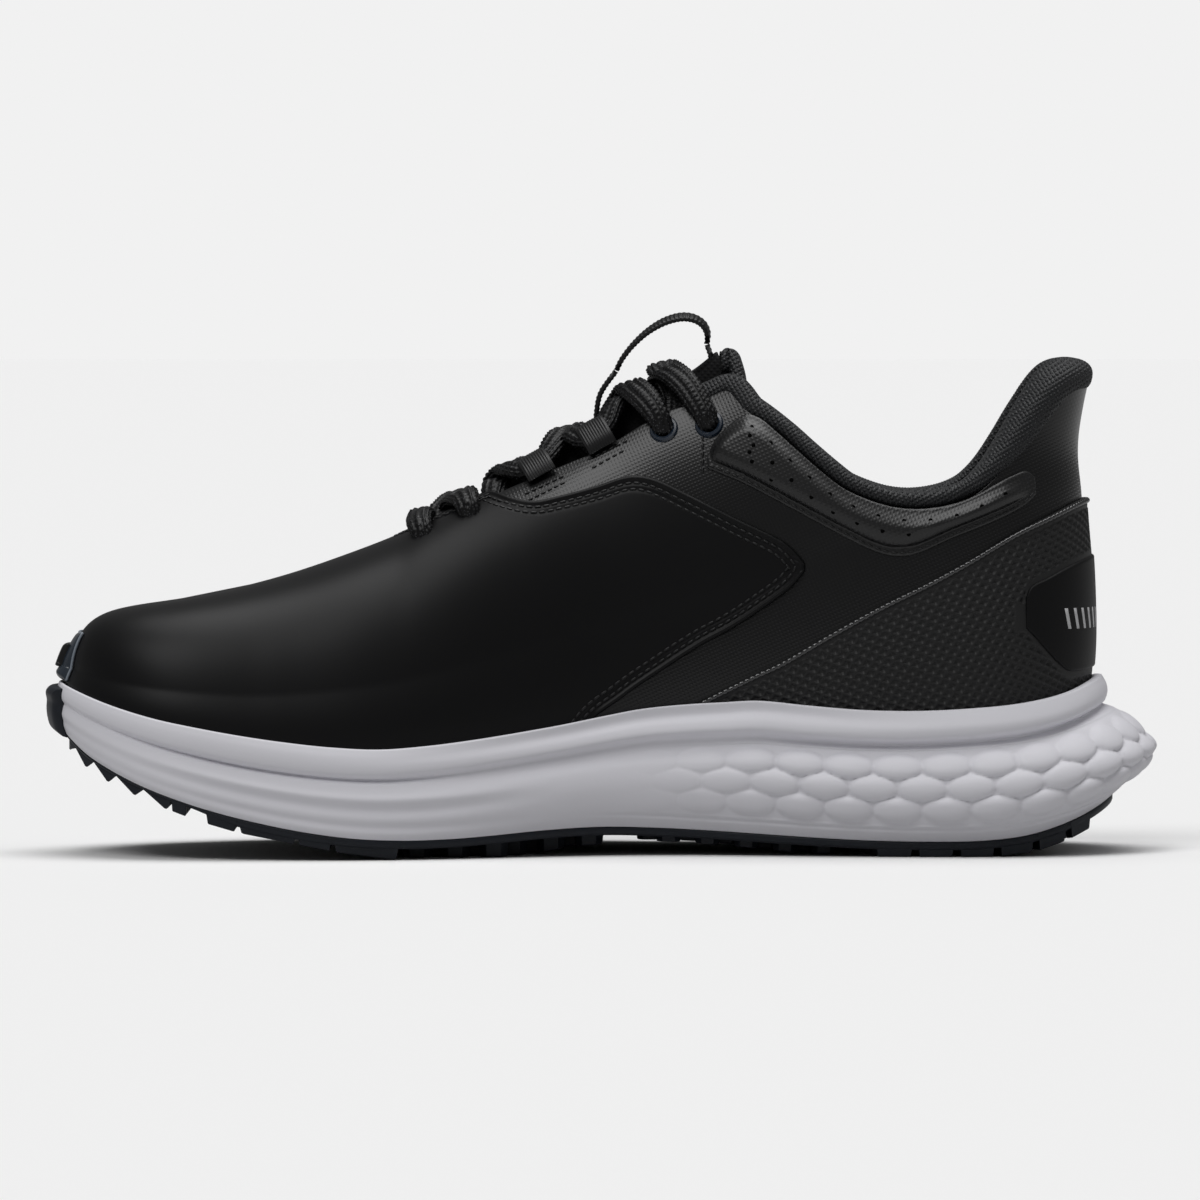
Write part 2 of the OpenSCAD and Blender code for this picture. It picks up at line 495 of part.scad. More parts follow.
module vamp() {
    q1 = q_of(51.2);
    // More columns than elsewhere beside the throat, where the edge drops to the side.
    half = concat(
        grid(0, q_of(-24)), [for (x = [-25, -22.2, -19.4]) q_of(x)], grid(q_of(-21), q1), [q1]
    );
    qs = concat([for (i = [len(half) - 1:-1:0]) -half[i]], [0], half);
    lows = [for (q = qs) x_of(q) < -7 ? above_board(q) : max(above_board(q), share_on(q, vamp_low_pts))];
    highs = [for (q = qs)
        x_of(q) < -28 ? top_edge(q) : min(top_edge(q), share_on(q, vamp_high_pts))];
    difference() {
        layer(qs, lows, highs, 9, 0, in_overlay);
        holes([lace_rows[0], lace_rows[1]], 3);
    }
}

module quarter(s) {
    q0 = q_of(-47);
    qs = s < 0 ? [for (q = columns(-0.999, -q0)) q] : columns(q0, 0.999);
    difference() {
        layer(qs, [for (q = qs) above_board(q)], [for (q = qs) top_edge(q) - 0.004], 11, out_quarter, in_quarter);
        holes([lace_rows[1], lace_rows[4], lace_rows[5]], 3);
        holes([lace_rows[0]], 3);
    }
}
module quarter_medial() quarter(-1);
module quarter_lateral() quarter(1);

module collar_panel(s) {
    q0 = q_of(26.4);
    q1 = q_of(111.2);
    qs = s < 0 ? columns(-q1, -q0) : columns(q0, q1);
    lows = [for (q = qs) share_on(q, panel_low_pts)];
    highs = [for (q = qs) min(share_on(q, panel_high_pts), top_edge(q) - 0.004)];
    function puff(i, j) = 2.4 * sin(180 * i / 6) ^ 0.5 * sin(180 * j / (len(qs) - 1)) ^ 0.4;
    shell(
        [for (i = [0:6]) [for (j = [0:len(qs) - 1])
            on_last(qs[j], mix(lows[j], highs[j], i / 6), out_quarter + 0.9 + puff(i, j))]],
        panel(qs, lows, highs, 6, out_quarter + 0.3)
    );
}
module collar_panel_medial() collar_panel(-1);
module collar_panel_lateral() collar_panel(1);

module heel_overlay() {
    q0 = q_of(23.6);
    qs = columns(q0, 2 - q0);
    layer(
        qs, [for (q = qs) above_board(q)],
        [for (q = qs) share_on(q, overlay_pts)], 6, 0, in_overlay
    );
}
module heel_patch() {
    q0 = q_of(106.6);
    qs = columns(q0, 2 - q0);
    layer(
        qs, [for (q = qs) share_on(q, patch_low_pts)], [for (q = qs) share_on(q, patch_high_pts)],
        4, 1, 0.3
    );
}

module toe_guard() {
    qs = steps(-0.041, 0.041, 8);
    lows = [for (q = qs) cup_share(q, curve(rim_pts, x_of(q)) + 0.7)];
    highs = [for (q = qs) cup_share(q, 55.4 - 90 * q * q)];
    shell(
        [for (i = [0:4]) [for (j = [0:len(qs) - 1])
            on_last(qs[j], mix(lows[j], highs[j], i / 4),
                0.9 + (1 - i / 4) * 2.4 * smooth((0.044 - abs(qs[j])) / 0.022))]],
        panel(qs, lows, highs, 4, 0.3)
    );
}
function cup_share(q, z) =
    let (b = curve(board_pts, x_of(q))) (z - b) / (curve(ridge_pts, last_point(q, 0.3)[0]) - b);
module toe_ridge() {
    qs = steps(-0.024, 0.024, 6);
    lows = [for (q = qs) cup_share(q, 46.4)];
    highs = [for (q = qs) cup_share(q, 52 - 90 * q * q)];
    base = function(i) 0.9 + (1 - (0.15 + 0.7 * i / 3)) * 2.4;
    shell(
        [for (i = [0:3]) [for (j = [0:len(qs) - 1])
            on_last(qs[j], mix(lows[j], highs[j], i / 3), base(i) + 1.3 - (i == 0 || i == 3 ? 0.4 : 0))]],
        [for (i = [0:3]) [for (j = [0:len(qs) - 1]) on_last(qs[j], mix(lows[j], highs[j], i / 3), base(i) + 0.3)]]
    );
}

module toe_puff() {
    qs = columns(-0.29, 0.29);
    layer(qs, [for (q = qs) above_board(q)], [for (q = qs) 0.82], 7, out_quarter, out_quarter - stiffener_t);
}
module heel_counter() {
    q0 = q_of(56);
    qs = columns(q0, 2 - q0);
    layer(
        qs, [for (q = qs) above_board(q)],
        [for (q = qs) cup_share(q, 44 + 16 * smooth((x_of(q) - 52) / 24))], 4, out_inner, out_inner - stiffener_t
    );
}

module lining() {
    qs = ring_q;
    lows = [for (q = qs) above_board(q)];
    highs = [for (q = qs) lining_top(q)];
    rows = 9;
    out = [for (i = [0:rows]) [for (j = [0:len(qs) - 1])
        let (h = mix(lows[j], highs[j], i / rows)) on_last(qs[j], h, lining_out(qs[j], h))]];
    in = [for (i = [0:rows]) [for (j = [0:len(qs) - 1])
        let (h = mix(lows[j], highs[j], i / rows)) on_last(qs[j], h, lining_out(qs[j], h) - lining_t)]];
    shell(out, in, true, [for (h = highs) h > 0.9999]);
}
module collar_foam() {
    q0 = q_of(42);
    qs = columns(q0, 2 - q0);
    rows = 4;
    high = [for (q = qs) share_on(q, collar_pts) - 0.008];
    low = [for (q = qs) share_on(q, [for (p = collar_pts) [p[0], p[1] - 17]])];
    shell(
        panel(qs, low, high, rows, out_inner),
        [for (i = [0:rows]) [for (j = [0:len(qs) - 1])
            let (h = mix(low[j], high[j], i / rows)) on_last(qs[j], h, lining_out(qs[j], h) + 1.4)]]
    );
}
module collar_roll() {
    q0 = q_of(31.5);
    qs = columns(q0, 2 - q0);
    rim = [for (q = qs)
        let (h = top_edge(q), a = on_last(q, h, out_quarter), b = on_last(q, h, lining_out(q, h) - lining_t))
        [(a + b) / 2, (a - b) / 2]];
    mid = [for (r = rim) r[0]];
    tube([
        for (i = [0:len(mid) - 1])
            let (
                u = rim[i][1] * (norm(rim[i][1]) + 0.5) / norm(rim[i][1]),
                v = unit(cross(path_dir(mid, i), u)),
                w = (v[2] < 0 ? -v : v) * 2,
                c = mid[i] + w * 1.3
            )
            [for (k = [0:7]) c + u * cos(45 * k) - w * sin(45 * k)]
    ]);
}

// The tongue lies under the eyestays and the lace, and stands free at its top end.
tongue_xs = [-57, -50, -42, -34, -26, -17, -8, 1, 9, 16, 22, 27, 30];
tongue_us = [-1, -0.86, -0.68, -0.5, -0.34, -0.18, 0, 0.18, 0.34, 0.5, 0.68, 0.86, 1];
function tongue_w(x) = curve([[-57, 15], [-46, 20], [-20, 22], [0, 23], [20, 24], [30, 23]], x);
function tongue_top(x, u) = -6.8 + 2.3 * smooth((0.32 - abs(u)) / 0.3) - smooth((abs(u) - 0.5) / 0.3)
    + 2.8 * smooth((x - 20) / 12) * (1 - u * u);
module tongue() {
    out = [for (x = tongue_xs) [for (u = tongue_us) over(x, u * tongue_w(x), tongue_top(x, u))]];
    in = [for (x = tongue_xs) [for (u = tongue_us)
        over(x, u * tongue_w(x), tongue_top(x, u) - 1.6 - 3.4 * (1 - u ^ 4) * smooth((x + 62) / 20))]];
    shell(out, in);
}
module tongue_binding() {
    us = tongue_us;
    mid = [for (u = us)
        over(30, u * tongue_w(30), tongue_top(30, u) - 0.8 - 1.7 * (1 - u ^ 4))];
    tube([
        for (i = [0:len(mid) - 1])
            let (
                n = over_normal(30, us[i] * tongue_w(30)),
                d = path_dir(mid, i),
                w = unit(cross(n, d)),
                c = mid[i] + (w[0] < 0 ? -w : w) * 2.3,
                r = 1.5 + 1.2 * (1 - us[i] ^ 4)
            )
            [for (k = [0:7]) c + n * r * cos(45 * k) + w * 1.7 * sin(45 * k)]
    ]);
}

// ---- lacing --------------------------------------------------------------------------------------------------

module eyelet(row, s) {
    p = over(row[0], s * row[1], out_quarter + 0.3);
    n = over_normal(row[0], s * row[1]);
    translate(p) rotate([0, acos(n[2]), atan2(n[1], n[0])])
        rotate_extrude($fn = 32) translate([eyelet_r + 0.1, 0])
            polygon([[0, 0], [1.4, 0], [1.4, 0.5], [1.1, 1], [0.6, 1.1], [0.1, 0.9], [0, 0.6]]);
}
module eyelets_medial() {
    eyelet(lace_rows[4], -1);
    eyelet(lace_rows[5], -1);
}
module eyelets_lateral() {
    eyelet(lace_rows[4], 1);
    eyelet(lace_rows[5], 1);
}

// A folded webbing tape: a loop that stands over the throat and two legs sewn on the eyestay.
module keeper(row, s) {
    p = over(row[0], s * row[1], -0.6);
    n = over_normal(row[0], s * (row[1] + 3));
    translate(p) rotate([s * -acos(n[2]), 0, 0]) scale([1, s, 1])
        rotate([90, 0, 90]) linear_extrude(height = 7.4, center = true)
            difference() {
                union() {
                    scale([3.8, 2.7]) circle(r = 1, $fn = 28);
                    translate([1.6, 1.3]) square([7.4, 1.1]);
                }
                scale([3.1, 1.9]) circle(r = 1, $fn = 28);
            }
}
module lace_keepers_medial() {
    keeper(lace_rows[2], -1);
    keeper(lace_rows[3], -1);
}
module lace_keepers_lateral() {
    keeper(lace_rows[2], 1);
    keeper(lace_rows[3], 1);
}

module lace_strand(s, under) {
    pts = [for (p = strand) over(p[0], s * p[1], p[2] + (under ? p[4] : 0))];
    fine = spline(pts, 2);
    widths = [for (i = [0:len(fine) - 1])
        let (k = min(floor(i / 2), len(strand) - 2)) mix(strand[k][3], strand[k + 1][3], i / 2 - k) * lace_w / 6];
    tube(oval_rings(fine, widths, lace_t * 0.85, [1, 0, 0], 6));
}
module lace() {
    lace_strand(1, false);
    lace_strand(-1, true);
}
function end_point(p, s) = [p[0] * kx, (curve(centre_pts, p[0]) - p[1] * s) * ky, p[2] * kz];
module lace_end(s) {
    pts = [for (p = end_route) end_point(p, s)];
    fine = spline(pts, 3);
    tube(oval_rings(fine, [for (p = fine) lace_w * 0.8], lace_t * 0.8, [1, 0, 0]));
}
module lace_end_medial() lace_end(-1);
module lace_end_lateral() lace_end(1);
module aglet(s) {
    n = len(end_route);
    a = end_point(end_route[n - 1], s);
    b = end_point(end_route[n - 2], s);
    d = unit(a - b);
    translate(a + d * 0.3) rotate([0, acos(d[2]), atan2(d[1], d[0])]) cylinder(r = aglet_r, h = aglet_len, $fn = 24);
}
module aglet_medial() aglet(-1);
module aglet_lateral() aglet(1);

// A flat tape along a path in the shoe's middle plane. Its width lies across the shoe.
// It narrows at the ends where it folds: low and high say which.
module tape(path, low, high) {
    p = spline([for (v = path) [v[0] * kx, loop_y * ky, v[1] * kz]], 2);
    m = len(p) - 1;
    tube([
        for (i = [0:len(p) - 1])
            let (
                d = path_dir(p, i), n = [-d[2], 0, d[0]] * 0.65,
                f = (low && i == 0) || (high && i == m) ? 0.55 : 1, w = [0, f * tape_w / 2, 0]
            )
            [p[i] + w + n * 0.5, p[i] + w - n * 0.5, p[i] + w * 0.8 - n, p[i] - w * 0.8 - n,
                p[i] - w - n * 0.5, p[i] - w + n * 0.5, p[i] - w * 0.8 + n, p[i] + w * 0.8 + n]
    ]);
}
module loop_base() {
    tape(loop_front, false, true);
    tape(loop_rear, false, true);
}
module pull_loop() tape(loop_path, true, true);

color("#2c3440") outsole();
color("#2c3440") toe_bumper();
color("#eef0f2") midsole();
color("#c9c2b4") strobel_board();
color("#24262b") sockliner();
color("#222b3a") toe_guard();
color("#101216") toe_ridge();
color("#1d1e21") vamp();
color("#232427") quarter_medial();
color("#232427") quarter_lateral();
color("#1a1b1e") collar_panel_medial();
color("#1a1b1e") collar_panel_lateral();
color("#2a2b2f") heel_overlay();
color("#202124") heel_patch();
color("#d8d4c8") toe_puff();
color("#d8d4c8") heel_counter();
color("#17181a") lining();
color("#e6dfc8") collar_foam();
color("#2e3035") collar_roll();
color("#1f2023") tongue();
color("#2e3035") tongue_binding();
color("#26354f") eyelets_medial();
color("#26354f") eyelets_lateral();
color("#141416") lace_keepers_medial();
color("#141416") lace_keepers_lateral();
color("#0f0f11") lace();
color("#0f0f11") lace_end_medial();
color("#0f0f11") lace_end_lateral();
color("#26282c") aglet_medial();
color("#26282c") aglet_lateral();
color("#121214") loop_base();
color("#121214") pull_loop();
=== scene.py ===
import math

import bmesh
import bpy
import numpy as np
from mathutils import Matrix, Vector


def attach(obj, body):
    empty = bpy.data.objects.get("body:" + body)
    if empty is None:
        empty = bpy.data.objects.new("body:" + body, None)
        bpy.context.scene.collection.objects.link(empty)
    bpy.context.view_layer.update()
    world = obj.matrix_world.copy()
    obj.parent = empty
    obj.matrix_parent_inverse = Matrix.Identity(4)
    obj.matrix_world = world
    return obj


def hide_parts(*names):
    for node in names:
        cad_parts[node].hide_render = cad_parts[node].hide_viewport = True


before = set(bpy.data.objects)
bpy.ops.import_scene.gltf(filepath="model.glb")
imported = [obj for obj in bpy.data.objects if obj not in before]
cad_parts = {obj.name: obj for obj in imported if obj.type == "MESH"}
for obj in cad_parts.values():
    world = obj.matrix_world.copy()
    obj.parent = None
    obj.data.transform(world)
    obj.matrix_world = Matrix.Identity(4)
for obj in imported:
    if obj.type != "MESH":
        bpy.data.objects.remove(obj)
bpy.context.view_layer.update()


MM = 0.001
STITCH_R = 0.3
SIDES = {"medial": -1, "lateral": 1}


# ---- camera ----

cam_data = bpy.data.cameras.new("camera")
cam = bpy.data.objects.new("camera", cam_data)
bpy.context.scene.collection.objects.link(cam)
bpy.context.scene.camera = cam
CAMERA_AWAY, VIEW_WIDTH = 2.6, 0.306
target = Vector((-0.0004, 0, 0.0636))
cam.location = target + Vector((0, -CAMERA_AWAY, 0.08))
cam.rotation_euler = (target - cam.location).to_track_quat("-Z", "Y").to_euler()
cam_data.sensor_width = 36
cam_data.lens = 36 * CAMERA_AWAY / VIEW_WIDTH
cam_data.clip_end = 20


# ---- the last: the same curves and functions as the CAD, in millimetres ----

WIDTH_PTS = [[-136, 33], [-118, 37], [-100, 40.5], [-80, 44.5], [-60, 46.2], [-40, 44], [-20, 38.2],
    [0, 32.8], [20, 30.6], [40, 31], [62, 32.2], [85, 32.8], [105, 32], [125, 31]]
CENTRE_PTS = [[-136, -13], [-112, -10], [-85, -5], [-60, -1.5], [-30, 1.8], [0, 3.4], [30, 2.6], [60, 0.8],
    [95, 0], [125, 0]]
BOARD_PTS = [[-136, 38], [-120, 31], [-104, 26.4], [-85, 22.4], [-60, 20.2], [-35, 20.8], [0, 24.4],
    [30, 27.2], [60, 28.2], [95, 28.4], [125, 31]]
RIDGE_PTS = [[-142, 60.4], [-130, 61.6], [-118, 62.8], [-106, 64.3], [-94, 66.6], [-80, 70.3], [-66, 75],
    [-52, 80.4], [-46, 83.6], [-33, 90.8], [-17, 100.6], [0, 111.4], [14, 120.6], [28, 126.5], [42, 136],
    [60, 151], [80, 168], [100, 181], [112, 185], [142, 185]]
SIDE_POW_PTS = [[-136, 9], [-130, 6.6], [-118, 4.4], [-100, 3.3], [-60, 2.6], [0, 2.25], [125, 2.3]]
TOP_POW_PTS = [[-136, 3], [-118, 2.5], [-100, 2.2], [-60, 2.05], [-17, 2.05], [0, 2.2], [14, 2.4], [28, 2.65],
    [60, 2.5], [125, 2.4]]
HEEL_BACK_PTS = [[28, 123.4], [40, 124.4], [52, 125.3], [62, 125.3], [74, 124.8], [84, 124], [92, 123.4],
    [100, 122.6], [106, 122.8], [113, 123.9], [120, 125.3], [132, 127]]
THROAT_PTS = [[-52, 0], [-50.5, 3.4], [-47, 6], [-40, 8.6], [-25, 12], [-10, 14.4], [0, 15.2], [14, 15],
    [28, 15.4], [40, 16]]
COLLAR_PTS = [[24, 118.6], [31, 116.6], [39, 111.6], [45, 106.8], [50, 102.2], [56, 97], [61, 93.2], [67, 90.4],
    [73, 88.6], [79, 88], [85, 88.6], [90, 90], [95, 92.6], [100, 97], [106, 104], [112, 111.4], [117, 116.6],
    [121, 119.4], [126, 120.4]]
RIM_PTS = [[-138, 44.6], [-124, 39], [-112, 35.3], [-101, 32.9], [-90, 30.9], [-79, 29.3], [-68, 28.1],
    [-56, 27.5], [-44, 28.3], [-33, 29.6], [-22, 31.2], [-11, 33], [0, 35.1], [10, 36.9], [21, 38], [31, 38.6],
    [40, 39], [52, 37.9], [66, 36.8], [80, 36.6], [94, 37.3], [106, 38.6], [117, 41.2], [127, 45.8]]
GROUND_PTS = [[-141, 34], [-136, 30.8], [-129, 25.4], [-118, 19.6], [-107, 15.3], [-96, 11.9], [-84, 9],
    [-73, 6.9], [-62, 5.5], [-50, 4.9], [-38, 5.1], [-28, 5.7], [-14, 6.8], [0, 7.4], [15, 7], [32, 6.1],
    [50, 5], [66, 4.2], [80, 3.9], [95, 4.1], [106, 5.2], [114, 7.2], [122, 10.2], [130, 14.6], [142, 24]]
GROOVE_PTS = [[-138, 0.31], [-90, 0.33], [-50, 0.3], [0, 0.26], [60, 0.23], [127, 0.2]]
LINING_THROAT_PTS = [[-62, 0], [-60, 9], [-54, 17], [-46, 21.5], [-33, 22.5], [-17, 21], [0, 21.5], [15, 24],
    [28, 25.5], [40, 25]]
VAMP_LOW_PTS = [[-8, 20], [-4.7, 31], [5, 39.5], [15, 46.4], [25.1, 52.9], [32.6, 57], [40.1, 61.9],
    [47.6, 67.5], [51.4, 72]]
VAMP_HIGH_PTS = [[-30, 92.6], [-24, 90.6], [-17, 89.6], [-10.9, 90.8], [-1.2, 93.4], [5.3, 95.6], [9.2, 96],
    [13.8, 95], [21.5, 91.4], [34.6, 84.9], [45.5, 79.6], [49.1, 76.5], [51.4, 73.6]]
PANEL_LOW_PTS = [[26, 98], [30, 96.4], [36.3, 93.7], [47.6, 87.7], [58.8, 81.7], [67, 77.6], [73, 75.7],
    [78.9, 76.1], [88.6, 80.2], [99.9, 84.7], [107.4, 88.5], [111.6, 92.6]]
PANEL_HIGH_PTS = [[26, 99.6], [29, 105.4], [36, 111.2], [40, 110.4], [44, 107.2], [50, 101.8], [56, 96.6],
    [61, 92.8], [67, 90], [73, 88.2], [79, 87.6], [85, 88.1], [90, 89.3], [95, 91.4], [99, 93.6], [104, 96],
    [108, 97], [111.6, 94]]
OVERLAY_PTS = [[23, 37.6], [29.1, 40.8], [38.8, 45.6], [45.4, 48.7], [57.2, 55.6], [70, 62.7], [82.7, 69],
    [92.4, 74.3], [103.7, 81], [113.3, 85.5], [122.3, 89.4], [126, 89.8]]
PATCH_LOW_PTS = [[106.2, 58], [108.5, 55.8], [112, 51.8], [115.4, 48.2], [118.4, 46.2], [126, 47]]
PATCH_HIGH_PTS = [[106.2, 62], [107.2, 66], [108.4, 68], [112, 69.8], [118, 72.8], [126, 76]]
STAND_OUT = [
    [-136, 2.4, 2.8, 3.0, 2.9, 2.6, 2.4, 2.6, 2.8, 2.6, 2.2, 1.6, 0.6],
    [-112, 3.4, 4.0, 4.3, 4.2, 3.5, 3.1, 3.8, 4.5, 4.9, 5.0, 4.8, 4.0],
    [-60, 3.4, 4.4, 5.0, 5.0, 4.3, 4.0, 4.8, 5.7, 6.2, 6.3, 6.2, 5.6],
    [-10, 3.2, 3.2, 4.4, 4.8, 4.0, 3.3, 3.9, 5.6, 6.3, 5.9, 4.8, 3.2],
    [20, 3.2, 3.0, 4.6, 5.2, 4.2, 3.1, 3.5, 5.6, 6.6, 6.0, 4.4, 2.4],
    [50, 3.2, 3.5, 5.0, 5.4, 4.4, 3.1, 4.1, 6.4, 7.6, 7.2, 5.8, 3.8],
    [85, 3.3, 4.5, 5.6, 5.6, 4.8, 3.3, 4.9, 7.6, 9.2, 9.2, 7.6, 5.0],
    [112, 3.3, 4.5, 5.4, 5.4, 4.6, 3.6, 6.0, 9.6, 12.0, 12.0, 9.2, 5.6],
    [125, 3.0, 4.0, 4.4, 4.2, 3.9, 3.9, 8.2, 12.2, 15.8, 13.8, 9.4, 5.7],
]


def hermite(pts, x):
    """A smooth curve through control points [x, value, ...], held constant beyond its ends."""
    p = np.asarray(pts, float)
    xs, ys = p[:, 0], p[:, 1:]
    x = np.clip(np.asarray(x, float), xs[0], xs[-1])
    m = np.empty_like(ys)
    m[1:-1] = (ys[2:] - ys[:-2]) / (xs[2:] - xs[:-2])[:, None]
    m[0] = (ys[1] - ys[0]) / (xs[1] - xs[0])
    m[-1] = (ys[-1] - ys[-2]) / (xs[-1] - xs[-2])
    i = np.clip(np.searchsorted(xs, x, side="right") - 1, 0, len(xs) - 2)
    w = xs[i + 1] - xs[i]
    t = ((x - xs[i]) / w)[..., None]
    w = w[..., None]
    v = (ys[i] * (2 * t**3 - 3 * t**2 + 1) + ys[i + 1] * (3 * t**2 - 2 * t**3)
         + m[i] * w * (t**3 - 2 * t**2 + t) + m[i + 1] * w * (t**3 - t**2))
    return v[..., 0] if ys.shape[1] == 1 else v


def smooth(t):
    """A soft step from 0 to 1."""
    t = np.clip(t, 0, 1)
    return t * t * (3 - 2 * t)


def bell(d, width):
    """A soft hump, 1 where d is 0."""
    return np.exp(-(d / width) ** 2)


def mix(a, b, t):
    """From a at t = 0 to b at t = 1."""
    return a + (b - a) * t


def run(p):
    """Length along lines of points, from their first points: axis 0 runs along the lines."""
    step = np.linalg.norm(np.diff(p, axis=0), axis=-1)
    return np.concatenate([np.zeros((1, *step.shape[1:])), np.cumsum(step, axis=0)])


def circle(n):
    """n angles round a full turn."""
    return np.arange(n) * 2 * np.pi / n


def squarish(ang, power):
    """Cosine and sine of the angles, drawn out towards a rounded square."""
    return [np.sign(v) * np.abs(v) ** power for v in (np.cos(ang), np.sin(ang))]


TOE_X, HEEL_X, TOE_R, HEEL_R = -135.2, 124.6, -90, 92


def closing(x):
    """How the plan closes at the toe and the heel: 1 along the middle, 0 at both ends."""
    t = np.where(x < TOE_R, (TOE_R - x) / (TOE_R - TOE_X), np.where(x > HEEL_R, (x - HEEL_R) / (HEEL_X - HEEL_R), 0))
    e = np.where(x < TOE_R, 2.4, 2.25)
    return np.maximum(0, 1 - np.clip(t, 0, 1) ** e) ** (1 / e)


def half_width(x):
    return hermite(WIDTH_PTS, x) * closing(x)


def wrap(q):
    """q runs from -1 to 1 round the outline: 0 is the toe, 1 the heel, below 0 the medial side."""
    q = np.asarray(q, float)
    return np.where(q > 1, q - 2, np.where(q < -1, q + 2, q))


def x_of(q):
    return TOE_X + (HEEL_X - TOE_X) * (1 - np.cos(np.pi * np.abs(wrap(q)))) / 2


def q_of(x):
    return np.arccos(np.clip(1 - 2 * (np.asarray(x, float) - TOE_X) / (HEEL_X - TOE_X), -1, 1)) / np.pi


def feather(q):
    """The widest outline of the last in plan, at q."""
    x = x_of(q)
    return x, hermite(CENTRE_PTS, x) + np.where(wrap(q) < 0, -1, 1) * half_width(x)


def spine_x(x):
    """Where on the centreline the sections that fan out at the toe and the heel start."""
    a, b, r = -88, 88, 20
    x = np.asarray(x, float)
    return np.where(x < a - r, a, np.where(x < a + r, a + (x - a + r) ** 2 / (4 * r),
                    np.where(x > b + r, b, np.where(x > b - r, b - (b + r - x) ** 2 / (4 * r), x))))


def reach(x, h):
    """The share of the way from the spine to the outline that the last reaches at share h of its height."""
    hc = np.clip(h, 0, 1)
    dome = np.maximum(0, 1 - hc ** hermite(TOP_POW_PTS, x)) ** (1 / hermite(SIDE_POW_PTS, x))
    full = dome * (1 + 0.025 * np.sin(np.pi * np.clip(np.asarray(h) / 0.4, 0, 1)))
    z = mix(hermite(BOARD_PTS, x), hermite(RIDGE_PTS, x), h)
    s = float(spine_x(HEEL_X))
    back = (hermite(HEEL_BACK_PTS, z) - s) / (HEEL_X - s)
    return mix(full, back, smooth((x - 98) / (HEEL_X - 98)))


def last_point(q, h):
    """A point of the last: h is the share of the way up from the board to the ridge."""
    x, y = feather(q)
    h = np.asarray(h, float) + 0 * x
    sx = spine_x(x)
    sy = hermite(CENTRE_PTS, sx)
    k = reach(x, h)
    px, py = sx + (x - sx) * k, sy + (y - sy) * k
    return np.stack([px, py, mix(hermite(BOARD_PTS, x), hermite(RIDGE_PTS, px), h)], -1)


def unit(v):
    return v / np.maximum(np.linalg.norm(v, axis=-1, keepdims=True), 1e-12)


def last_normal(q, h):
    """Outward direction of the last."""
    e = 0.004
    q = np.asarray(q, float)
    h = np.asarray(h, float)
    a = last_point(q + e, np.clip(h, e, 1 - e)) - last_point(q - e, np.clip(h, e, 1 - e))
    b = last_point(q, np.clip(h, e, 1 - 2 * e) + e) - last_point(q, np.clip(h, 2 * e, 1) - e)
    n = unit(np.cross(b, a))
    return np.where((h > 0.995)[..., None], np.array([0.0, 0.0, 1.0]), n)


def on_last(q, h, off):
    """A point off the last by a distance."""
    q, h, off = np.broadcast_arrays(np.asarray(q, float), np.asarray(h, float), np.asarray(off, float))
    return last_point(q, h) + last_normal(q, h) * off[..., None]


def share_at_y(x, y):
    """The share of height at which the last is |y| wide to one side."""
    f = np.clip(np.abs(y) / half_width(x), 0, 1)
    return np.maximum(0, 1 - f ** hermite(SIDE_POW_PTS, x)) ** (1 / hermite(TOP_POW_PTS, x))


def share_on(q, pts):
    """The share of height at which the last crosses a curve of z over x."""
    q = np.asarray(q, float)
    h = np.full(q.shape, 0.5)
    b = hermite(BOARD_PTS, x_of(q))
    for _ in range(6):
        x = last_point(q, h)[..., 0]
        h = (hermite(pts, x) - b) / (hermite(RIDGE_PTS, x) - b)
    return np.clip(h, 0, 1)


def over(x, y, off):
    """The point over (x, y) in plan, off the last."""
    x, y = np.asarray(x, float), np.asarray(y, float)
    return on_last(np.where(y < 0, -1, 1) * q_of(x), share_at_y(x, y), off)


def normal_over(x, y):
    """The last's outward direction over (x, y) in plan."""
    return last_normal(np.where(y < 0, -1, 1) * q_of(x), share_at_y(x, y))


def top_edge(q):
    """The upper's top edge: the ridge, then the throat, then the collar."""
    x = x_of(q)
    t = share_at_y(x, hermite(THROAT_PTS, x))
    c = mix(t, share_on(q, COLLAR_PTS), smooth((x - 29) / 8))
    return np.where(x <= -52, 1.0, np.where(x < 29, t, c))


# ---- materials ----


def shader(nt, kind, values, vector=None):
    """A shader node with its inputs set, fed with a vector."""
    n = nt.nodes.new("ShaderNode" + kind)
    for key, value in values.items():
        n.inputs[key].default_value = value
    if vector:
        nt.links.new(vector, n.inputs["Vector"])
    return n


def maths(nt, operation, *inputs):
    """The result of a maths node fed with sockets or numbers."""
    n = nt.nodes.new("ShaderNodeMath")
    n.operation = operation
    for k, v in enumerate(inputs):
        if isinstance(v, float):
            n.inputs[k].default_value = v
        else:
            nt.links.new(v, n.inputs[k])
    return n.outputs[0]


def relief(nt, where, kind, pitch):
    """The height of a surface pattern: a weave, a knit or a fine noise."""
    if kind == "noise":
        return shader(nt, "TexNoise", {"Scale": 1 / pitch, "Detail": 4}, where).outputs["Fac"]
    waves = []
    for axis in "XZ":
        w = shader(nt, "TexWave", {"Scale": math.pi / (10 * pitch), "Detail": 1, "Detail Scale": 0.6,
                                   "Distortion": {"knit": 1.2, "weave": 0.5}[kind]}, where)
        w.bands_direction = axis
        waves.append(w.outputs["Fac"])
    return maths(nt, "MULTIPLY", *waves)


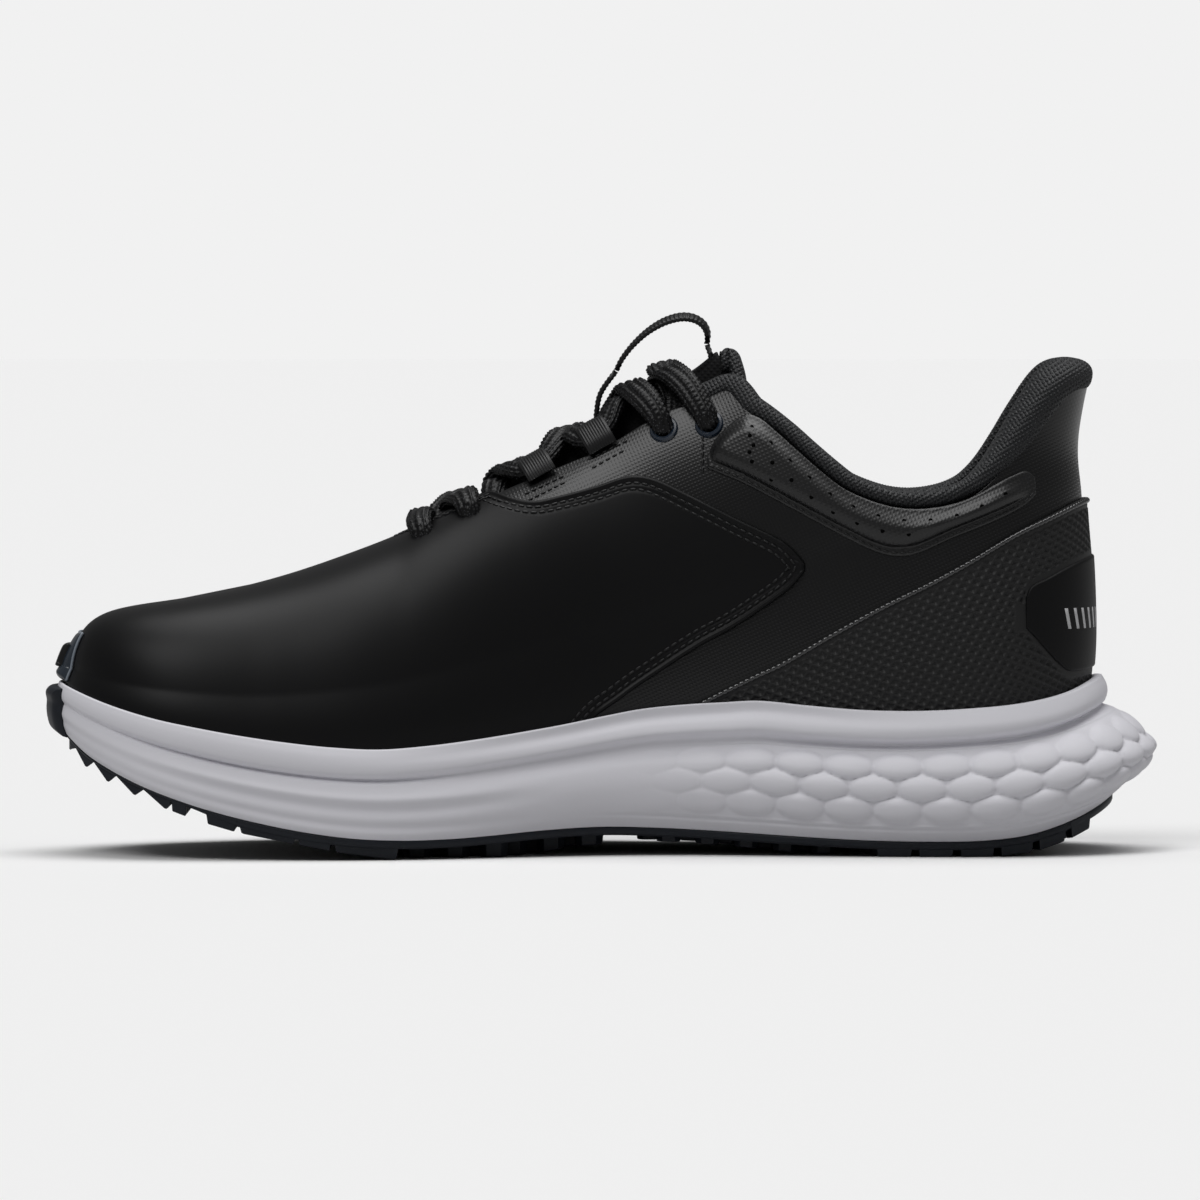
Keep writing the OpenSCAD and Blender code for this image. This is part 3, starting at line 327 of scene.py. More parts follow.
def material(name, color, rough, spec=0.5, sheen=0.0, coat=0.0, bump=None, spots=None):
    """A Principled material. bump is (kind, pitch in metres, depth in metres, angle in degrees)."""
    m = bpy.data.materials.new(name)
    m.use_nodes = True
    nt = m.node_tree
    b = nt.nodes["Principled BSDF"]
    values = {"Base Color": (*color, 1), "Roughness": rough, "Specular IOR Level": spec, "Sheen Weight": sheen,
              "Sheen Roughness": 0.5, "Coat Weight": coat, "Coat Roughness": 0.15}
    for key, value in values.items():
        b.inputs[key].default_value = value
    coord = nt.nodes.new("ShaderNodeTexCoord").outputs["Object"]
    if bump:
        kind, pitch, depth, angle = bump
        turn = shader(nt, "Mapping", {"Rotation": (0, math.radians(angle), 0)}, coord).outputs["Vector"]
        bn = shader(nt, "Bump", {"Strength": 1, "Distance": depth})
        nt.links.new(relief(nt, turn, kind, pitch), bn.inputs["Height"])
        nt.links.new(bn.outputs["Normal"], b.inputs["Normal"])
    if spots:
        pitch, size, light = spots
        v = shader(nt, "TexVoronoi", {"Scale": 1 / pitch}, coord)
        blend = nt.nodes.new("ShaderNodeMix")
        blend.data_type = "RGBA"
        blend.inputs[6].default_value = (*color, 1)
        blend.inputs[7].default_value = (*light, 1)
        nt.links.new(maths(nt, "LESS_THAN", v.outputs["Distance"], size), blend.inputs[0])
        nt.links.new(blend.outputs[2], b.inputs["Base Color"])
    return m


M = {
    "vamp": material("vamp_microfibre", (0.0046, 0.0046, 0.005), 0.42, 0.17, bump=("noise", 0.0012, 0.00001, 0)),
    "quarter": material("quarter_ribbed", (0.0024, 0.0024, 0.0028), 0.3, 0.46, bump=("weave", 0.0009, 0.00003, 24)),
    "panel": material("collar_panel_ribbed", (0.003, 0.003, 0.0034), 0.36, 0.6, bump=("weave", 0.0010, 0.00004, 24)),
    "overlay": material("heel_overlay_scales", (0.0022, 0.0022, 0.0025), 0.56, 0.5,
                        bump=("noise", 0.0005, 0.00001, 0)),
    "overlay_edge": material("heel_overlay_edge", (0.014, 0.014, 0.015), 0.2, 0.9),
    "patch": material("heel_patch_smooth", (0.0046, 0.0046, 0.005), 0.45, 0.15, bump=("noise", 0.001, 0.00001, 0)),
    "mark": material("printed_bars", (0.52, 0.52, 0.53), 0.5),
    "knit": material("knitted_roll", (0.009, 0.0098, 0.0115), 0.52, 0.42, sheen=0.05,
                     bump=("knit", 0.0010, 0.0004, 30)),
    "lining": material("lining_textile", (0.005, 0.005, 0.0055), 0.9, 0.12, sheen=0.04,
                       bump=("weave", 0.0012, 0.00014, 45)),
    "tongue": material("tongue_mesh", (0.005, 0.005, 0.0055), 0.8, 0.14, sheen=0.04,
                       bump=("weave", 0.0011, 0.00016, 45)),
    "lace": material("lace_braid", (0.002, 0.002, 0.0024), 0.4, 0.24, spots=(0.0006, 0.24, (0.06, 0.061, 0.066))),
    "webbing": material("webbing", (0.003, 0.003, 0.0034), 0.42, 0.35, bump=("noise", 0.0004, 0.00003, 0)),
    "thread": material("stitching", (0.0065, 0.0065, 0.0072), 0.42, 0.4),
    # painted shade: near-black matte discs that stand for the dark inside of perforations and eyelet holes
    "shade_disc": material("perforation_painted_shade", (0.0008, 0.0008, 0.0008), 0.9, 0.05),
    "eyelet": material("eyelet_enamel", (0.008, 0.016, 0.030), 0.25, 0.5, coat=0.4),
    "midsole": material("midsole_foam", (0.765, 0.758, 0.805), 0.5, 0.3, bump=("noise", 0.0007, 0.000012, 0)),
    "rubber": material("outsole_rubber", (0.010, 0.0125, 0.018), 0.48, 0.3, bump=("noise", 0.0006, 0.00002, 0)),
    "guard": material("toe_guard_gloss", (0.020, 0.028, 0.040), 0.24, 0.5, coat=0.3),
    # painted highlight: a light grey for the bright line along the toe guard's edge
    "guard_edge_highlight": material("toe_guard_edge_painted_highlight", (0.22, 0.25, 0.29), 0.35, 0.5),
    "ridge": material("toe_ridge_black", (0.0045, 0.0045, 0.005), 0.4, 0.35),
    "insole": material("sockliner_textile", (0.012, 0.012, 0.0135), 0.9, 0.2, sheen=0.15,
                       bump=("knit", 0.0014, 0.00018, 45)),
    "board": material("strobel_felt", (0.52, 0.49, 0.43), 0.95, 0.2, bump=("noise", 0.0008, 0.0001, 0)),
    "stiffener": material("stiffener_sheet", (0.60, 0.57, 0.48), 0.7, 0.3, bump=("noise", 0.0015, 0.00004, 0)),
    "foam": material("padding_foam", (0.72, 0.66, 0.42), 0.9, 0.2, bump=("noise", 0.0006, 0.00012, 0)),
    "aglet": material("aglet_film", (0.006, 0.006, 0.0065), 0.2, 0.5),
}


# ---- meshes ----


def plain_faces(faces):
    return faces.tolist() if isinstance(faces, np.ndarray) else faces


def build(name, mesh, mat, replaces=(), body="shoe", merge=0.0):
    """A piece of the shoe from a mesh: its vertices in millimetres and its faces."""
    me = bpy.data.meshes.new(name)
    me.from_pydata((mesh[0] * MM).tolist(), [], plain_faces(mesh[1]))
    if merge:
        bm = bmesh.new()
        bm.from_mesh(me)
        bmesh.ops.remove_doubles(bm, verts=bm.verts, dist=merge * MM)
        bmesh.ops.dissolve_degenerate(bm, dist=1e-7, edges=bm.edges)
        bm.to_mesh(me)
        bm.free()
    me.validate()
    me.polygons.foreach_set("use_smooth", [True] * len(me.polygons))
    me.update()
    o = bpy.data.objects.new(name, me)
    bpy.context.scene.collection.objects.link(o)
    me.materials.append(M[mat])
    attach(o, body)
    if replaces:
        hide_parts(*replaces)
    return o


def grid_faces(r, c, base=0, closed=False, flip=False):
    """Faces of a grid of r rows and c columns."""
    i = np.arange(r - 1)[:, None]
    j = np.arange(c if closed else c - 1)[None, :]
    k = (j + 1) % c
    a, b = base + i * c + j, base + i * c + k
    f = np.stack([a, b, b + c, a + c], -1).reshape(-1, 4)
    return f[:, ::-1] if flip else f


def shell_mesh(outer, inner, closed=False, skip_top=None):
    """Vertices and faces of the solid between two grids of points, shape (rows, columns, 3)."""
    r, c = outer.shape[:2]
    n = r * c
    parts = [grid_faces(r, c, 0, closed), grid_faces(r, c, n, closed, True)]
    j = np.arange(c if closed else c - 1)
    k = (j + 1) % c
    parts.append(np.stack([j, n + j, n + k, k], -1))
    t = (r - 1) * c
    keep = np.ones(len(j), bool) if skip_top is None else ~(skip_top[j] & skip_top[k])
    parts.append(np.stack([t + j, t + k, n + t + k, n + t + j], -1)[keep])
    if not closed:
        i = np.arange(r - 1)
        parts.append(np.stack([i * c, (i + 1) * c, n + (i + 1) * c, n + i * c], -1))
        e = i * c + c - 1
        parts.append(np.stack([e, n + e, n + e + c, e + c], -1))
    return np.concatenate([outer.reshape(-1, 3), inner.reshape(-1, 3)]), np.concatenate(parts)


def backed_mesh(outer, inner, skip_top):
    """Like shell_mesh for an open grid, but with only a few rows of points on the hidden back."""
    r, c = outer.shape[:2]
    k = np.unique(np.linspace(0, r - 1, 14).round().astype(int))
    m = len(k)
    n = r * c
    fs = grid_faces(r, c).tolist() + grid_faces(m, c, n, False, True).tolist()
    j = np.arange(c - 1)
    fs += np.stack([j, n + j, n + j + 1, j + 1], -1).tolist()
    t, u = (r - 1) * c, n + (m - 1) * c
    keep = np.ones(c - 1, bool) if skip_top is None else ~(skip_top[j] & skip_top[j + 1])
    fs += np.stack([t + j, t + j + 1, u + j + 1, u + j], -1)[keep].tolist()
    fs.append([i * c for i in range(r)] + [n + i * c for i in range(m)][::-1])
    fs.append(([i * c + c - 1 for i in range(r)] + [n + i * c + c - 1 for i in range(m)][::-1])[::-1])
    return np.concatenate([outer.reshape(-1, 3), inner[k].reshape(-1, 3)]), fs


def ease(n):
    """n + 1 values from 0 to 1, closer together at both ends."""
    return (1 - np.cos(np.pi * np.linspace(0, 1, n + 1))) / 2


def spread(a, b, n):
    """Values from a to b, closer together at both ends."""
    return a + (b - a) * ease(n)


def round_edge(d, r):
    """A rounded edge's rise over its radius r: 0 at distance d = 0, 1 from d = r on."""
    return np.sqrt(np.maximum(0, 1 - (1 - np.clip(d / r, 0, 1)) ** 2))


def edge_distance(p, edges):
    """Each point's distance along the grid to the nearest of the edges named: l low, h high, s start, e end."""
    rows, columns = run(p), run(p.swapaxes(0, 1)).T
    to = {"l": rows, "h": rows[-1:] - rows, "s": columns, "e": columns[:, -1:] - columns}
    return np.min([to[k] for k in edges], axis=0)


def between(qs, low, high, v):
    """A grid on the last: its columns at qs, its rows at the shares v from low to high."""
    h = low + (high - low) * v[:, None]
    return np.broadcast_to(qs, h.shape), h


def panel(name, qs, low, high, v, base, thick, mat, edges, r, lift, replaces, skip_top=None, merge=0.0,
          under=0.5):
    """A layer of the upper: columns at qs, rows at the shares v from low to high, with rounded edges."""
    q, h = between(qs, low, high, v)
    p = last_point(q, h)
    n = last_normal(q, h)
    d = edge_distance(p, edges)
    off = base + thick * round_edge(d, r)
    if lift is not None:
        off = off + lift(q, h, p, d)
    mesh = backed_mesh(p + n * off[..., None], p + n * (base - under), skip_top)
    return build(name, mesh, mat, replaces, merge=merge)


def carried(path, first):
    """Width and thickness directions along a path, carried on from the first width direction."""
    t = unit(np.gradient(path, axis=0))
    a = np.empty_like(path)
    w = np.asarray(first, float)
    for i in range(len(path)):
        w = w - t[i] * (w @ t[i])
        w = w / max(np.linalg.norm(w), 1e-9)
        a[i] = w
    return a, np.cross(a, t)


def tube_mesh(path, a, b, section):
    """A closed tube along a path: section holds each ring's points along a and b, shape (n or 1, m, 2)."""
    pts = path[:, None, :] + a[:, None, :] * section[..., :1] + b[:, None, :] * section[..., 1:]
    n, m = pts.shape[:2]
    fs = grid_faces(n, m, 0, True, True).tolist()
    vs = np.concatenate([pts.reshape(-1, 3), path[:1], path[-1:]])
    for j in range(m):
        k = (j + 1) % m
        fs.append([n * m, j, k])
        fs.append([n * m + 1, (n - 1) * m + k, (n - 1) * m + j])
    return vs, fs


def spline(p, n):
    """A Catmull-Rom curve through the rows of p, with n steps between each two."""
    p = np.asarray(p, float)
    q = np.concatenate([p[:1], p, p[-1:]])
    t = (np.arange(n) / n)[:, None]
    out = []
    for i in range(len(p) - 1):
        a, b, c, d = q[i], q[i + 1], q[i + 2], q[i + 3]
        out.append(0.5 * (2 * b + (c - a) * t + (2 * a - 5 * b + 4 * c - d) * t**2 + (3 * b - 3 * c + d - a) * t**3))
    out.append(p[-1:])
    return np.concatenate(out)


def even(path, step):
    """The same path with points a constant step apart."""
    s = run(path)
    n = max(2, int(round(s[-1] / step)))
    u = np.linspace(0, s[-1], n + 1)
    return np.stack([np.interp(u, s, path[:, k]) for k in range(path.shape[1])], -1)


def round_section(sides, size):
    """Round rings of the sizes given, for a tube."""
    ang = circle(sides)
    return np.stack([np.cos(ang), np.sin(ang)], -1)[None] * np.asarray(size)[:, None, None]


def capped_rings(rings, flip=False):
    """Vertices and faces of closed rings of points, capped at both ends."""
    r, m = rings.shape[:2]
    caps = [list(range(m))[::-1], [(r - 1) * m + k for k in range(m)]]
    fs = grid_faces(r, m, 0, True, flip).tolist() + ([c[::-1] for c in caps] if flip else caps)
    return rings.reshape(-1, 3), fs


def disc(c, n, towards, r, sides, rise=0.0):
    """A round plug on the surface at c, 0.3 mm deep, that stands out by rise."""
    w = unit(np.cross(n, towards))
    ang = circle(sides)[:, None]
    ring = c + r * (np.cos(ang) * w + np.sin(ang) * np.cross(n, w))
    return capped_rings(np.stack([ring - n * 0.3, ring + n * rise]))


def knit_roll(name, node, centre, wide, tall, section):
    """A knitted roll: section holds each ring's points along the half axes wide and tall."""
    pts = centre[:, None] + wide[:, None] * section[..., :1] + tall[:, None] * section[..., 1:]
    n, m = pts.shape[:2]
    vs, fs = capped_rings(pts)
    v0, v1, v3 = (vs[fs[(n // 2) * m + 3][k]] for k in (0, 1, 3))
    if np.dot(np.cross(v1 - v0, v3 - v0), v0 - centre[n // 2]) < 0:
        fs = [f[::-1] for f in fs]
    return build(name, (vs, fs), "knit", [node])


def rounded_ends(s, r, least):
    """The share of its size that a roll has along its length s, rounded off over r at both ends."""
    return np.sqrt(np.clip(1 - (1 - np.minimum(s, s[-1] - s) / r).clip(0, 1) ** 2, least, 1))


def join(parts):
    """One list of vertices and faces from several."""
    vs, fs, base = [], [], 0
    for v, f in parts:
        vs.append(v)
        fs += [[base + i for i in face] for face in plain_faces(f)]
        base += len(v)
    return np.concatenate(vs), fs


def stitch(a, b, up):
    """A short rounded bar of thread from a to b."""
    t = unit(b - a)
    w = unit(np.cross(up, t))
    ends = [a + t * k * STITCH_R for k in (0, 0.35, 1.2)] + [b - t * k * STITCH_R for k in (1.2, 0.35, 0)]
    size = np.array([0.35, 0.75, 1, 1, 0.75, 0.35]) * STITCH_R
    return tube_mesh(np.stack(ends), w[None], up[None], round_section(6, size) * [1, 0.8])


def inset(q, h, d, inward):
    """Moves the line (q, h) on the last by d to its inward side."""
    e = 1e-4
    p = last_point(q, h)
    pq = (last_point(q + e, h) - p) / e
    ph = (last_point(q, h + e) - p) / e
    t = unit(np.gradient(p, axis=0))
    n = last_normal(q, h)
    side = unit(np.cross(n, t)) * inward
    out_q, out_h = np.empty_like(q), np.empty_like(h)
    for i in range(len(q)):
        m = np.stack([pq[i], ph[i]], 1)
        s = np.linalg.lstsq(m, side[i] * d, rcond=None)[0]
        out_q[i], out_h[i] = q[i] + s[0], h[i] + s[1]
    return out_q, out_h


def line_even(q, h, step):
    """Points a constant step apart on a line on the last."""
    p = last_point(q, h)
    s = run(p)
    n = max(2, int(s[-1] / step))
    u = np.linspace(0, s[-1], n + 1)
    return np.interp(u, s, q), np.interp(u, s, h)


def stitches(q, h, off, step=2.15, length=1.6):
    """A row of stitches along a line on the last."""
    sq, sh = line_even(q, h, step / 2)
    p = on_last(sq, sh, off)
    n = last_normal(sq, sh)
    parts = []
    for i in range(0, len(p) - 1, 2):
        mid = (p[i] + p[i + 1]) / 2
        half = unit(p[i + 1] - p[i]) * length / 2
        parts.append(stitch(mid - half, mid + half, n[i]))
    return parts


# ---- the midsole ----

RIM_LEVELS = [0, 0.3, 0.6, 0.85, 1]
WALL_LEVELS = [0.05, 0.14, 0.3, 0.5, 0.7, 0.87, 1]


def out_dir(q):
    """Outward direction of the outline in plan."""
    a, b = feather(q + 0.004), feather(q - 0.004)
    d = unit(np.stack([a[0] - b[0], a[1] - b[1]], -1))
    return np.stack([-d[..., 1], d[..., 0]], -1)


def stand_out(x):
    """How far the twelve levels of the sole's wall stand out from the last, in a row for each x."""
    return hermite(STAND_OUT, x)


def sole_grid(q, rows):
    """The sole's wall, its rows from the rim's top edge (0) to the ground edge (11).

    Returns the points, how far down from the groove to the ground they are, and the outward directions.
    """
    x, y = feather(q)
    off = stand_out(x)
    n = out_dir(q)
    rim, ground = hermite(RIM_PTS, x), hermite(GROUND_PTS, x + n[:, 0] * off[:, 11])
    groove = rim - (rim - ground) * hermite(GROOVE_PTS, x)
    z = np.stack([mix(rim, groove, t) for t in RIM_LEVELS] + [mix(groove, ground, t) for t in WALL_LEVELS], -1)
    levels = np.arange(12.0)
    pts, share = [], []
    for i in range(len(q)):
        o, height = hermite(np.column_stack([levels, off[i], z[i]]), rows).T
        pts.append(np.stack([x[i] + n[i, 0] * o, y[i] + n[i, 1] * o, height], -1))
        share.append((groove[i] - height) / (groove[i] - ground[i]))
    return np.stack(pts, 1), np.stack(share, 1), n


def ring_of(n):
    """n values of q round the outline, from the toe."""
    q = 2 * np.arange(n) / n
    return np.where(q <= 1, q, q - 2)


ring_q = ring_of(420)


def cup_ring(q, z, off):
    """A ring round the last at height z."""
    x = x_of(q)
    b = hermite(BOARD_PTS, x)
    h = (z - b) / (hermite(RIDGE_PTS, last_point(q, 0.1)[..., 0]) - b)
    return on_last(q, h, off)


def cap_faces(base, c, flip=False):
    """Strips of faces that close a ring, from side to side."""
    half = c // 2
    f = [[base, base + 1, base + c - 1]]
    for j in range(1, half - 1):
        f.append([base + j, base + j + 1, base + c - j - 1, base + c - j])
    f.append([base + half - 1, base + half, base + half + 1])
    return [x[::-1] for x in f] if flip else f


def stack(name, loops, mat, replaces):
    """A closed piece from rings of points, capped at both ends."""
    loops = np.stack(loops)
    r, c = loops.shape[:2]
    fs = grid_faces(r, c, 0, True).tolist() + cap_faces(0, c, True) + cap_faces((r - 1) * c, c)
    return build(name, (loops.reshape(-1, 3), fs), mat, replaces)


def heel_distance(p):
    """Length along a ring of points from the heel, on each side."""
    half = len(p) // 2
    right = run(p[half::-1, :2])[::-1]
    left = run(np.concatenate([p[half:], p[:1]])[:, :2])
    return np.concatenate([right, left[1:-1]])


def sole_columns():
    """q round the outline, symmetrical, with columns closer together over the heel's cells."""
    u = np.linspace(0, 1, 6001)
    x, y = feather(u)
    step = np.hypot(np.diff(x), np.diff(y))
    gap = 1.5 - 0.95 * smooth((x[1:] + 4) / 16)
    n = np.concatenate([[0], np.cumsum(step / gap)])
    half = np.interp(np.linspace(0, n[-1], int(n[-1]) + 1), n, u)
    return np.concatenate([half, -half[-2:0:-1]])


# rows of scale cells on the heel: shift in cells, place down the wall, share of the full height
CELL_ROWS = (0, 0.258, 1), (0.5, 0.472, 1), (0, 0.69, 0.9)
CELL_HEIGHT = 1.7
# the soft ridges and grooves of the forefoot: place down the wall, width, height
FOREFOOT_WAVES = (0.36, 0.08, 0.4), (0.52, 0.09, -0.7), (0.8, 0.07, -0.5)


def midsole():
    qs = sole_columns()
    rows = np.concatenate([np.linspace(0, 5, 34), np.linspace(5, 11, 78)[1:]])
    p, w, n = sole_grid(qs, rows)
    x = x_of(qs)[None, :]
    s = heel_distance(sole_grid(qs, np.array([8.0]))[0][0])[None, :]
    # scale cells, fading out towards the arch, and a little shorter round the heel itself
    along = np.where(s < 28.1, s / 11.24, 2.5 + (s - 28.1) / 12.4)
    cell = np.zeros(w.shape)
    for shift, place, height in CELL_ROWS:
        ds = (along + shift) % 1 - 0.5
        e = (np.abs(ds) / 0.5) ** 1.9 + (np.abs(w - place) / 0.127) ** 2.3
        cell = np.maximum(cell, height * np.maximum(0, 1 - e) ** 0.55)
    fade = smooth((p[..., 0] - 6) / 50)
    bump = CELL_HEIGHT * cell * fade - 0.25 * fade * (w > 0.1) * (w < 0.84)
    # a fine parting line above the ground edge, and the forefoot's waves
    low = p[-1:, :, 2]
    bump = bump - 0.45 * bell(p[..., 2] - low - 3.1, 0.4) * smooth((x + 10) / 40)
    front = smooth((-10 - x) / 40) * (0.2 + 0.8 * smooth((x + 122) / 36))
    for place, width, height in FOREFOOT_WAVES:
        bump = bump + front * height * bell(w - place, width)
    # the groove under the rim, deepest at the ball and round the heel
    deep = 0.9 * smooth((x - 30) / 30) + 1.1 * smooth((-30 - x) / 30) * smooth((x + 128) / 40)
    bump = bump - deep * bell(rows[:, None] - 5.0, 0.42)
    p = p + np.concatenate([n, np.zeros((len(qs), 1))], 1)[None] * bump[..., None]
    board, rim = hermite(BOARD_PTS, x_of(qs)), hermite(RIM_PTS, x_of(qs))
    inner = [cup_ring(qs, board - 2.3, 0.3), cup_ring(qs, (board + rim) / 2 - 1, 0.3), cup_ring(qs, rim - 0.9, 0.3)]
    top = cup_ring(qs, rim - 0.25, 0.55)
    edge = [mix(top, p[0], t) + np.array([0, 0, 0.28 * math.sin(math.pi * t)]) for t in (0.25, 0.5, 0.75, 0.93)]
    stack("midsole_foam", [*inner, top, *edge, *p], "midsole", ["midsole"])


midsole()


# ---- the outsole ----


def sheet_top(x):
    """Height of the upper face of the outsole."""
    return hermite(GROUND_PTS, x) - 0.1


# height of the tread's ends above the ground
TREAD_PTS = [[-141, 30], [-136, 26.6], [-130, 22.4], [-124, 19.2], [-117, 16], [-109, 12.8], [-100, 9.6], [-91, 7],
    [-84, 5.6], [-76, 4], [-68, 2.4], [-60, 0.9], [-52, 0.1], [-46, 0], [-20, 0.1], [-4, 2.4], [15, 3], [32, 2],
    [46, 0.5], [56, 0], [98, 0.1], [108, 1], [118, 4], [126, 8], [131, 12]]


def plan_y(x, inset_mm):
    """Edges of the outsole in plan at x: (medial y, lateral y)."""
    q = np.linspace(0.002, 0.998, 900)
    res = []
    for s in (-1, 1):
        px, py = feather(s * q)
        n = out_dir(s * q)
        o = stand_out(x_of(q))[:, 11] + 0.2 - inset_mm
        ex, ey = px + n[:, 0] * o, py + n[:, 1] * o
        k = np.argsort(ex)
        res.append(np.interp(x, ex[k], ey[k]))
    return res


def outsole():
    n = out_dir(ring_q)
    x, y = feather(ring_q)
    o = stand_out(x)[:, 11]
    loops = []
    # from the upper face, over the edge, to the lower face
    for dz, out in ((0, -0.4), (0, -0.1), (-0.17, 0.05), (-0.72, 0.05), (-0.93, -0.2), (-1, -0.8)):
        px, py = x + n[:, 0] * (o + out), y + n[:, 1] * (o + out)
        t = mix(0.7, 2.1, smooth((px + 104) / 14))
        loops.append(np.stack([px, py, sheet_top(px) + dz * t], -1))
    stack("outsole_sheet", loops, "rubber", ["outsole"])


def lug(poly, low_shift=0.0):
    """A tread block over a convex plan polygon: sunk into the sheet at the top, tapered to its lower end."""
    poly = np.asarray(poly, float)
    c = poly.mean(0)
    rings = []
    for size, down in ((1.08, 0), (1.0, 0.35), (0.93, 0.93), (0.86, 1)):
        q = c + (poly - c) * size
        low = np.maximum(0, hermite(TREAD_PTS, q[:, 0]) + low_shift)
        rings.append(np.column_stack([q, mix(sheet_top(q[:, 0]) - 0.4, low, down)]))
    return capped_rings(np.stack(rings), True)


def across(xe, fe, s, slant):
    """A point of the tread: x on the centreline, share of the way out to the side s, swept back by slant."""
    cy = float(hermite(CENTRE_PTS, xe))
    x = np.clip(xe, *TREAD_X)
    for _ in range(3):
        edge = plan_y(np.array([x]), 0.3)[0 if s < 0 else 1][0]
        y = mix(cy, edge, fe)
        x = np.clip(xe + slant * abs(y - cy), *TREAD_X)
    return x, y


# teeth under the toe: x and height of the tip, x of the root in front and behind
TEETH = [[-134.3, 26.5, -137.5, -132], [-129.6, 22.6, -133.6, -127.6], [-123.8, 19.2, -128.2, -121.6],
         [-116.9, 16.1, -122.4, -114.5], [-109, 12.8, -115.4, -107.8]]
# bars across the sole: x on the centreline, length along x, how far they sweep back
BARS = [[-107.6, 3.6, 0], [-98.8, 7.2, 0], [-90.6, 14, 0], [-75.8, 8, 0], [-66.9, 16, 0], [62, 8.6, 0.2],
        [72.4, 8.6, 0.2], [82.8, 8.6, 0.2], [93.2, 8.6, 0.2], [103.6, 7.6, 0.2], [113, 6, 0.2]]
# studs under the ball and the arch: first x, columns, rows each side, y of the middle row (None on the centreline),
# pitch, radius, added height of the lower ends
STUDS = [[-46.4, 5, 4, None, 9.6, 3.7, 0], [12, 5, 3, 2.5, 9.8, 3.2, 0.4]]
STUD_ROW_GAP = 9.4
TREAD_X = -134.6, 129.5


def tooth(tip, low, root, back):
    """Pointed teeth under the toe, one on each side of the middle."""
    parts = []
    for s in (-1, 1):
        rings = []
        for fe in (0.12, 0.4, 0.7, 0.9, 1.0):
            ring = []
            for xe, z in ((root, None), (tip - 0.5, low + 0.2), (tip, low), (tip + 0.5, low + 0.3), (back, None)):
                x, y = across(xe, fe, s, 0.0)
                ring.append([x, y, sheet_top(x) - 0.3 if z is None else z - 0.25 * (1 - fe)])
            x, y = across((root + back) / 2, fe, s, 0.0)
            ring.append([x, y, sheet_top(x) - 0.2])
            rings.append(ring)
        parts.append(capped_rings(np.array(rings)[:, ::-s], True))
    return parts


def tread():
    parts = []
    for row in TEETH:
        parts += tooth(*row)
    for x0, length, slant in BARS:
        for s in (-1, 1):
            for f0, f1 in ((0.06, 0.36), (0.42, 0.7), (0.76, 1.0)):
                corners = (x0, f0), (x0 + length, f0), (x0 + length, f1), (x0, f1)
                parts.append(lug([across(xe, fe, s, slant) for xe, fe in corners][::s]))
    for x0, columns, half, middle, pitch, r, shift in STUDS:
        for i in range(columns):
            for j in range(-half, half + 1):
                cx = x0 + i * pitch + (pitch / 2 if j % 2 else 0)
                cy = (float(hermite(CENTRE_PTS, cx)) if middle is None else middle) + j * STUD_ROW_GAP
                e = plan_y(np.array([cx]), r + 0.6)
                if e[0][0] < cy < e[1][0]:
                    parts.append(lug(np.array([cx, cy]) + round_section(6, [r])[0], shift))
    o = build("outsole_tread", join(parts), "rubber")
    for f in o.data.polygons:
        f.use_smooth = False


outsole()
tread()


def toe_bumper():
    qs = spread(-0.052, 0.052, 70)
    rows = np.linspace(0.6, 11, 70)
    p, _, n = sole_grid(qs, rows)
    # the bumper runs smoothly over the wall's groove
    chord = mix(p[0], p[-1], np.linspace(0, 1, len(rows))[:, None, None])
    blur = np.exp(-0.5 * ((rows[:, None] - rows[None]) / 1.1) ** 2)
    p = chord + np.einsum("ij,jkl->ikl", blur / blur.sum(1, keepdims=True), p - chord)
    d = edge_distance(p, "lhse")
    thick = 2.7 - 0.9 * (np.abs(qs) / 0.052)[None, :] ** 2
    off = 0.3 + thick * round_edge(d, 2.4)
    nn = np.concatenate([n, np.zeros((len(qs), 1))], 1)[None]
    mesh = shell_mesh((p + nn * off[..., None])[::-1], (p - nn * 0.2)[::-1])
    build("toe_bumper_rubber", mesh, "rubber", ["toe_bumper"])


toe_bumper()


# ---- under the foot ----

board_z = hermite(BOARD_PTS, x_of(ring_q))
stack("strobel_board_felt", [cup_ring(ring_q, board_z - 1.9, -0.6), cup_ring(ring_q, board_z - 0.3, -0.6)], "board",
      ["strobel_board"])
# height over the board and distance off the last, below 0 inside it
SOCKLINER_EDGE = (0.3, -5.6), (3.4, -5.7), (4.1, -5.9), (4.45, -6.5), (4.5, -7.4)
loops = [cup_ring(ring_q, board_z + up, off) for up, off in SOCKLINER_EDGE]
insole = stack("sockliner_pad", loops, "insole", ["sockliner"])


# ---- the upper ----

OUT_QUARTER, IN_QUARTER, OUT_INNER = -1.15, -3.0, -3.3


def above_board(q):
    """The share of height just above the board."""
    x = x_of(q)
    b = hermite(BOARD_PTS, x)
    return 0.6 / (hermite(RIDGE_PTS, x) - b)


def pad(q, h):
    """Thickness of the padding under the lining, near the collar."""
    z = last_point(q, h)[..., 2]
    column = q[0] if q.ndim == 2 else q
    top = last_point(column, top_edge(column))[..., 2]
    return 6.0 * smooth((z - top + 28) / 14) * smooth((x_of(q) - 32) / 14)


def lining_out(q, h):
    return OUT_INNER - 1.2 * smooth((x_of(q) - 20) / 30) - pad(q, h)


def cup_share(q, z):
    """The share of height at height z."""
    b = hermite(BOARD_PTS, x_of(q))
    return (z - b) / (hermite(RIDGE_PTS, last_point(q, 0.3)[..., 0]) - b)


VAMP_END = q_of(51.2)
VAMP_SEAMS = 2.25, 3.95


def vamp_top(q):
    return np.where(x_of(q) < -28, top_edge(q), np.minimum(top_edge(q), share_on(q, VAMP_HIGH_PTS)))


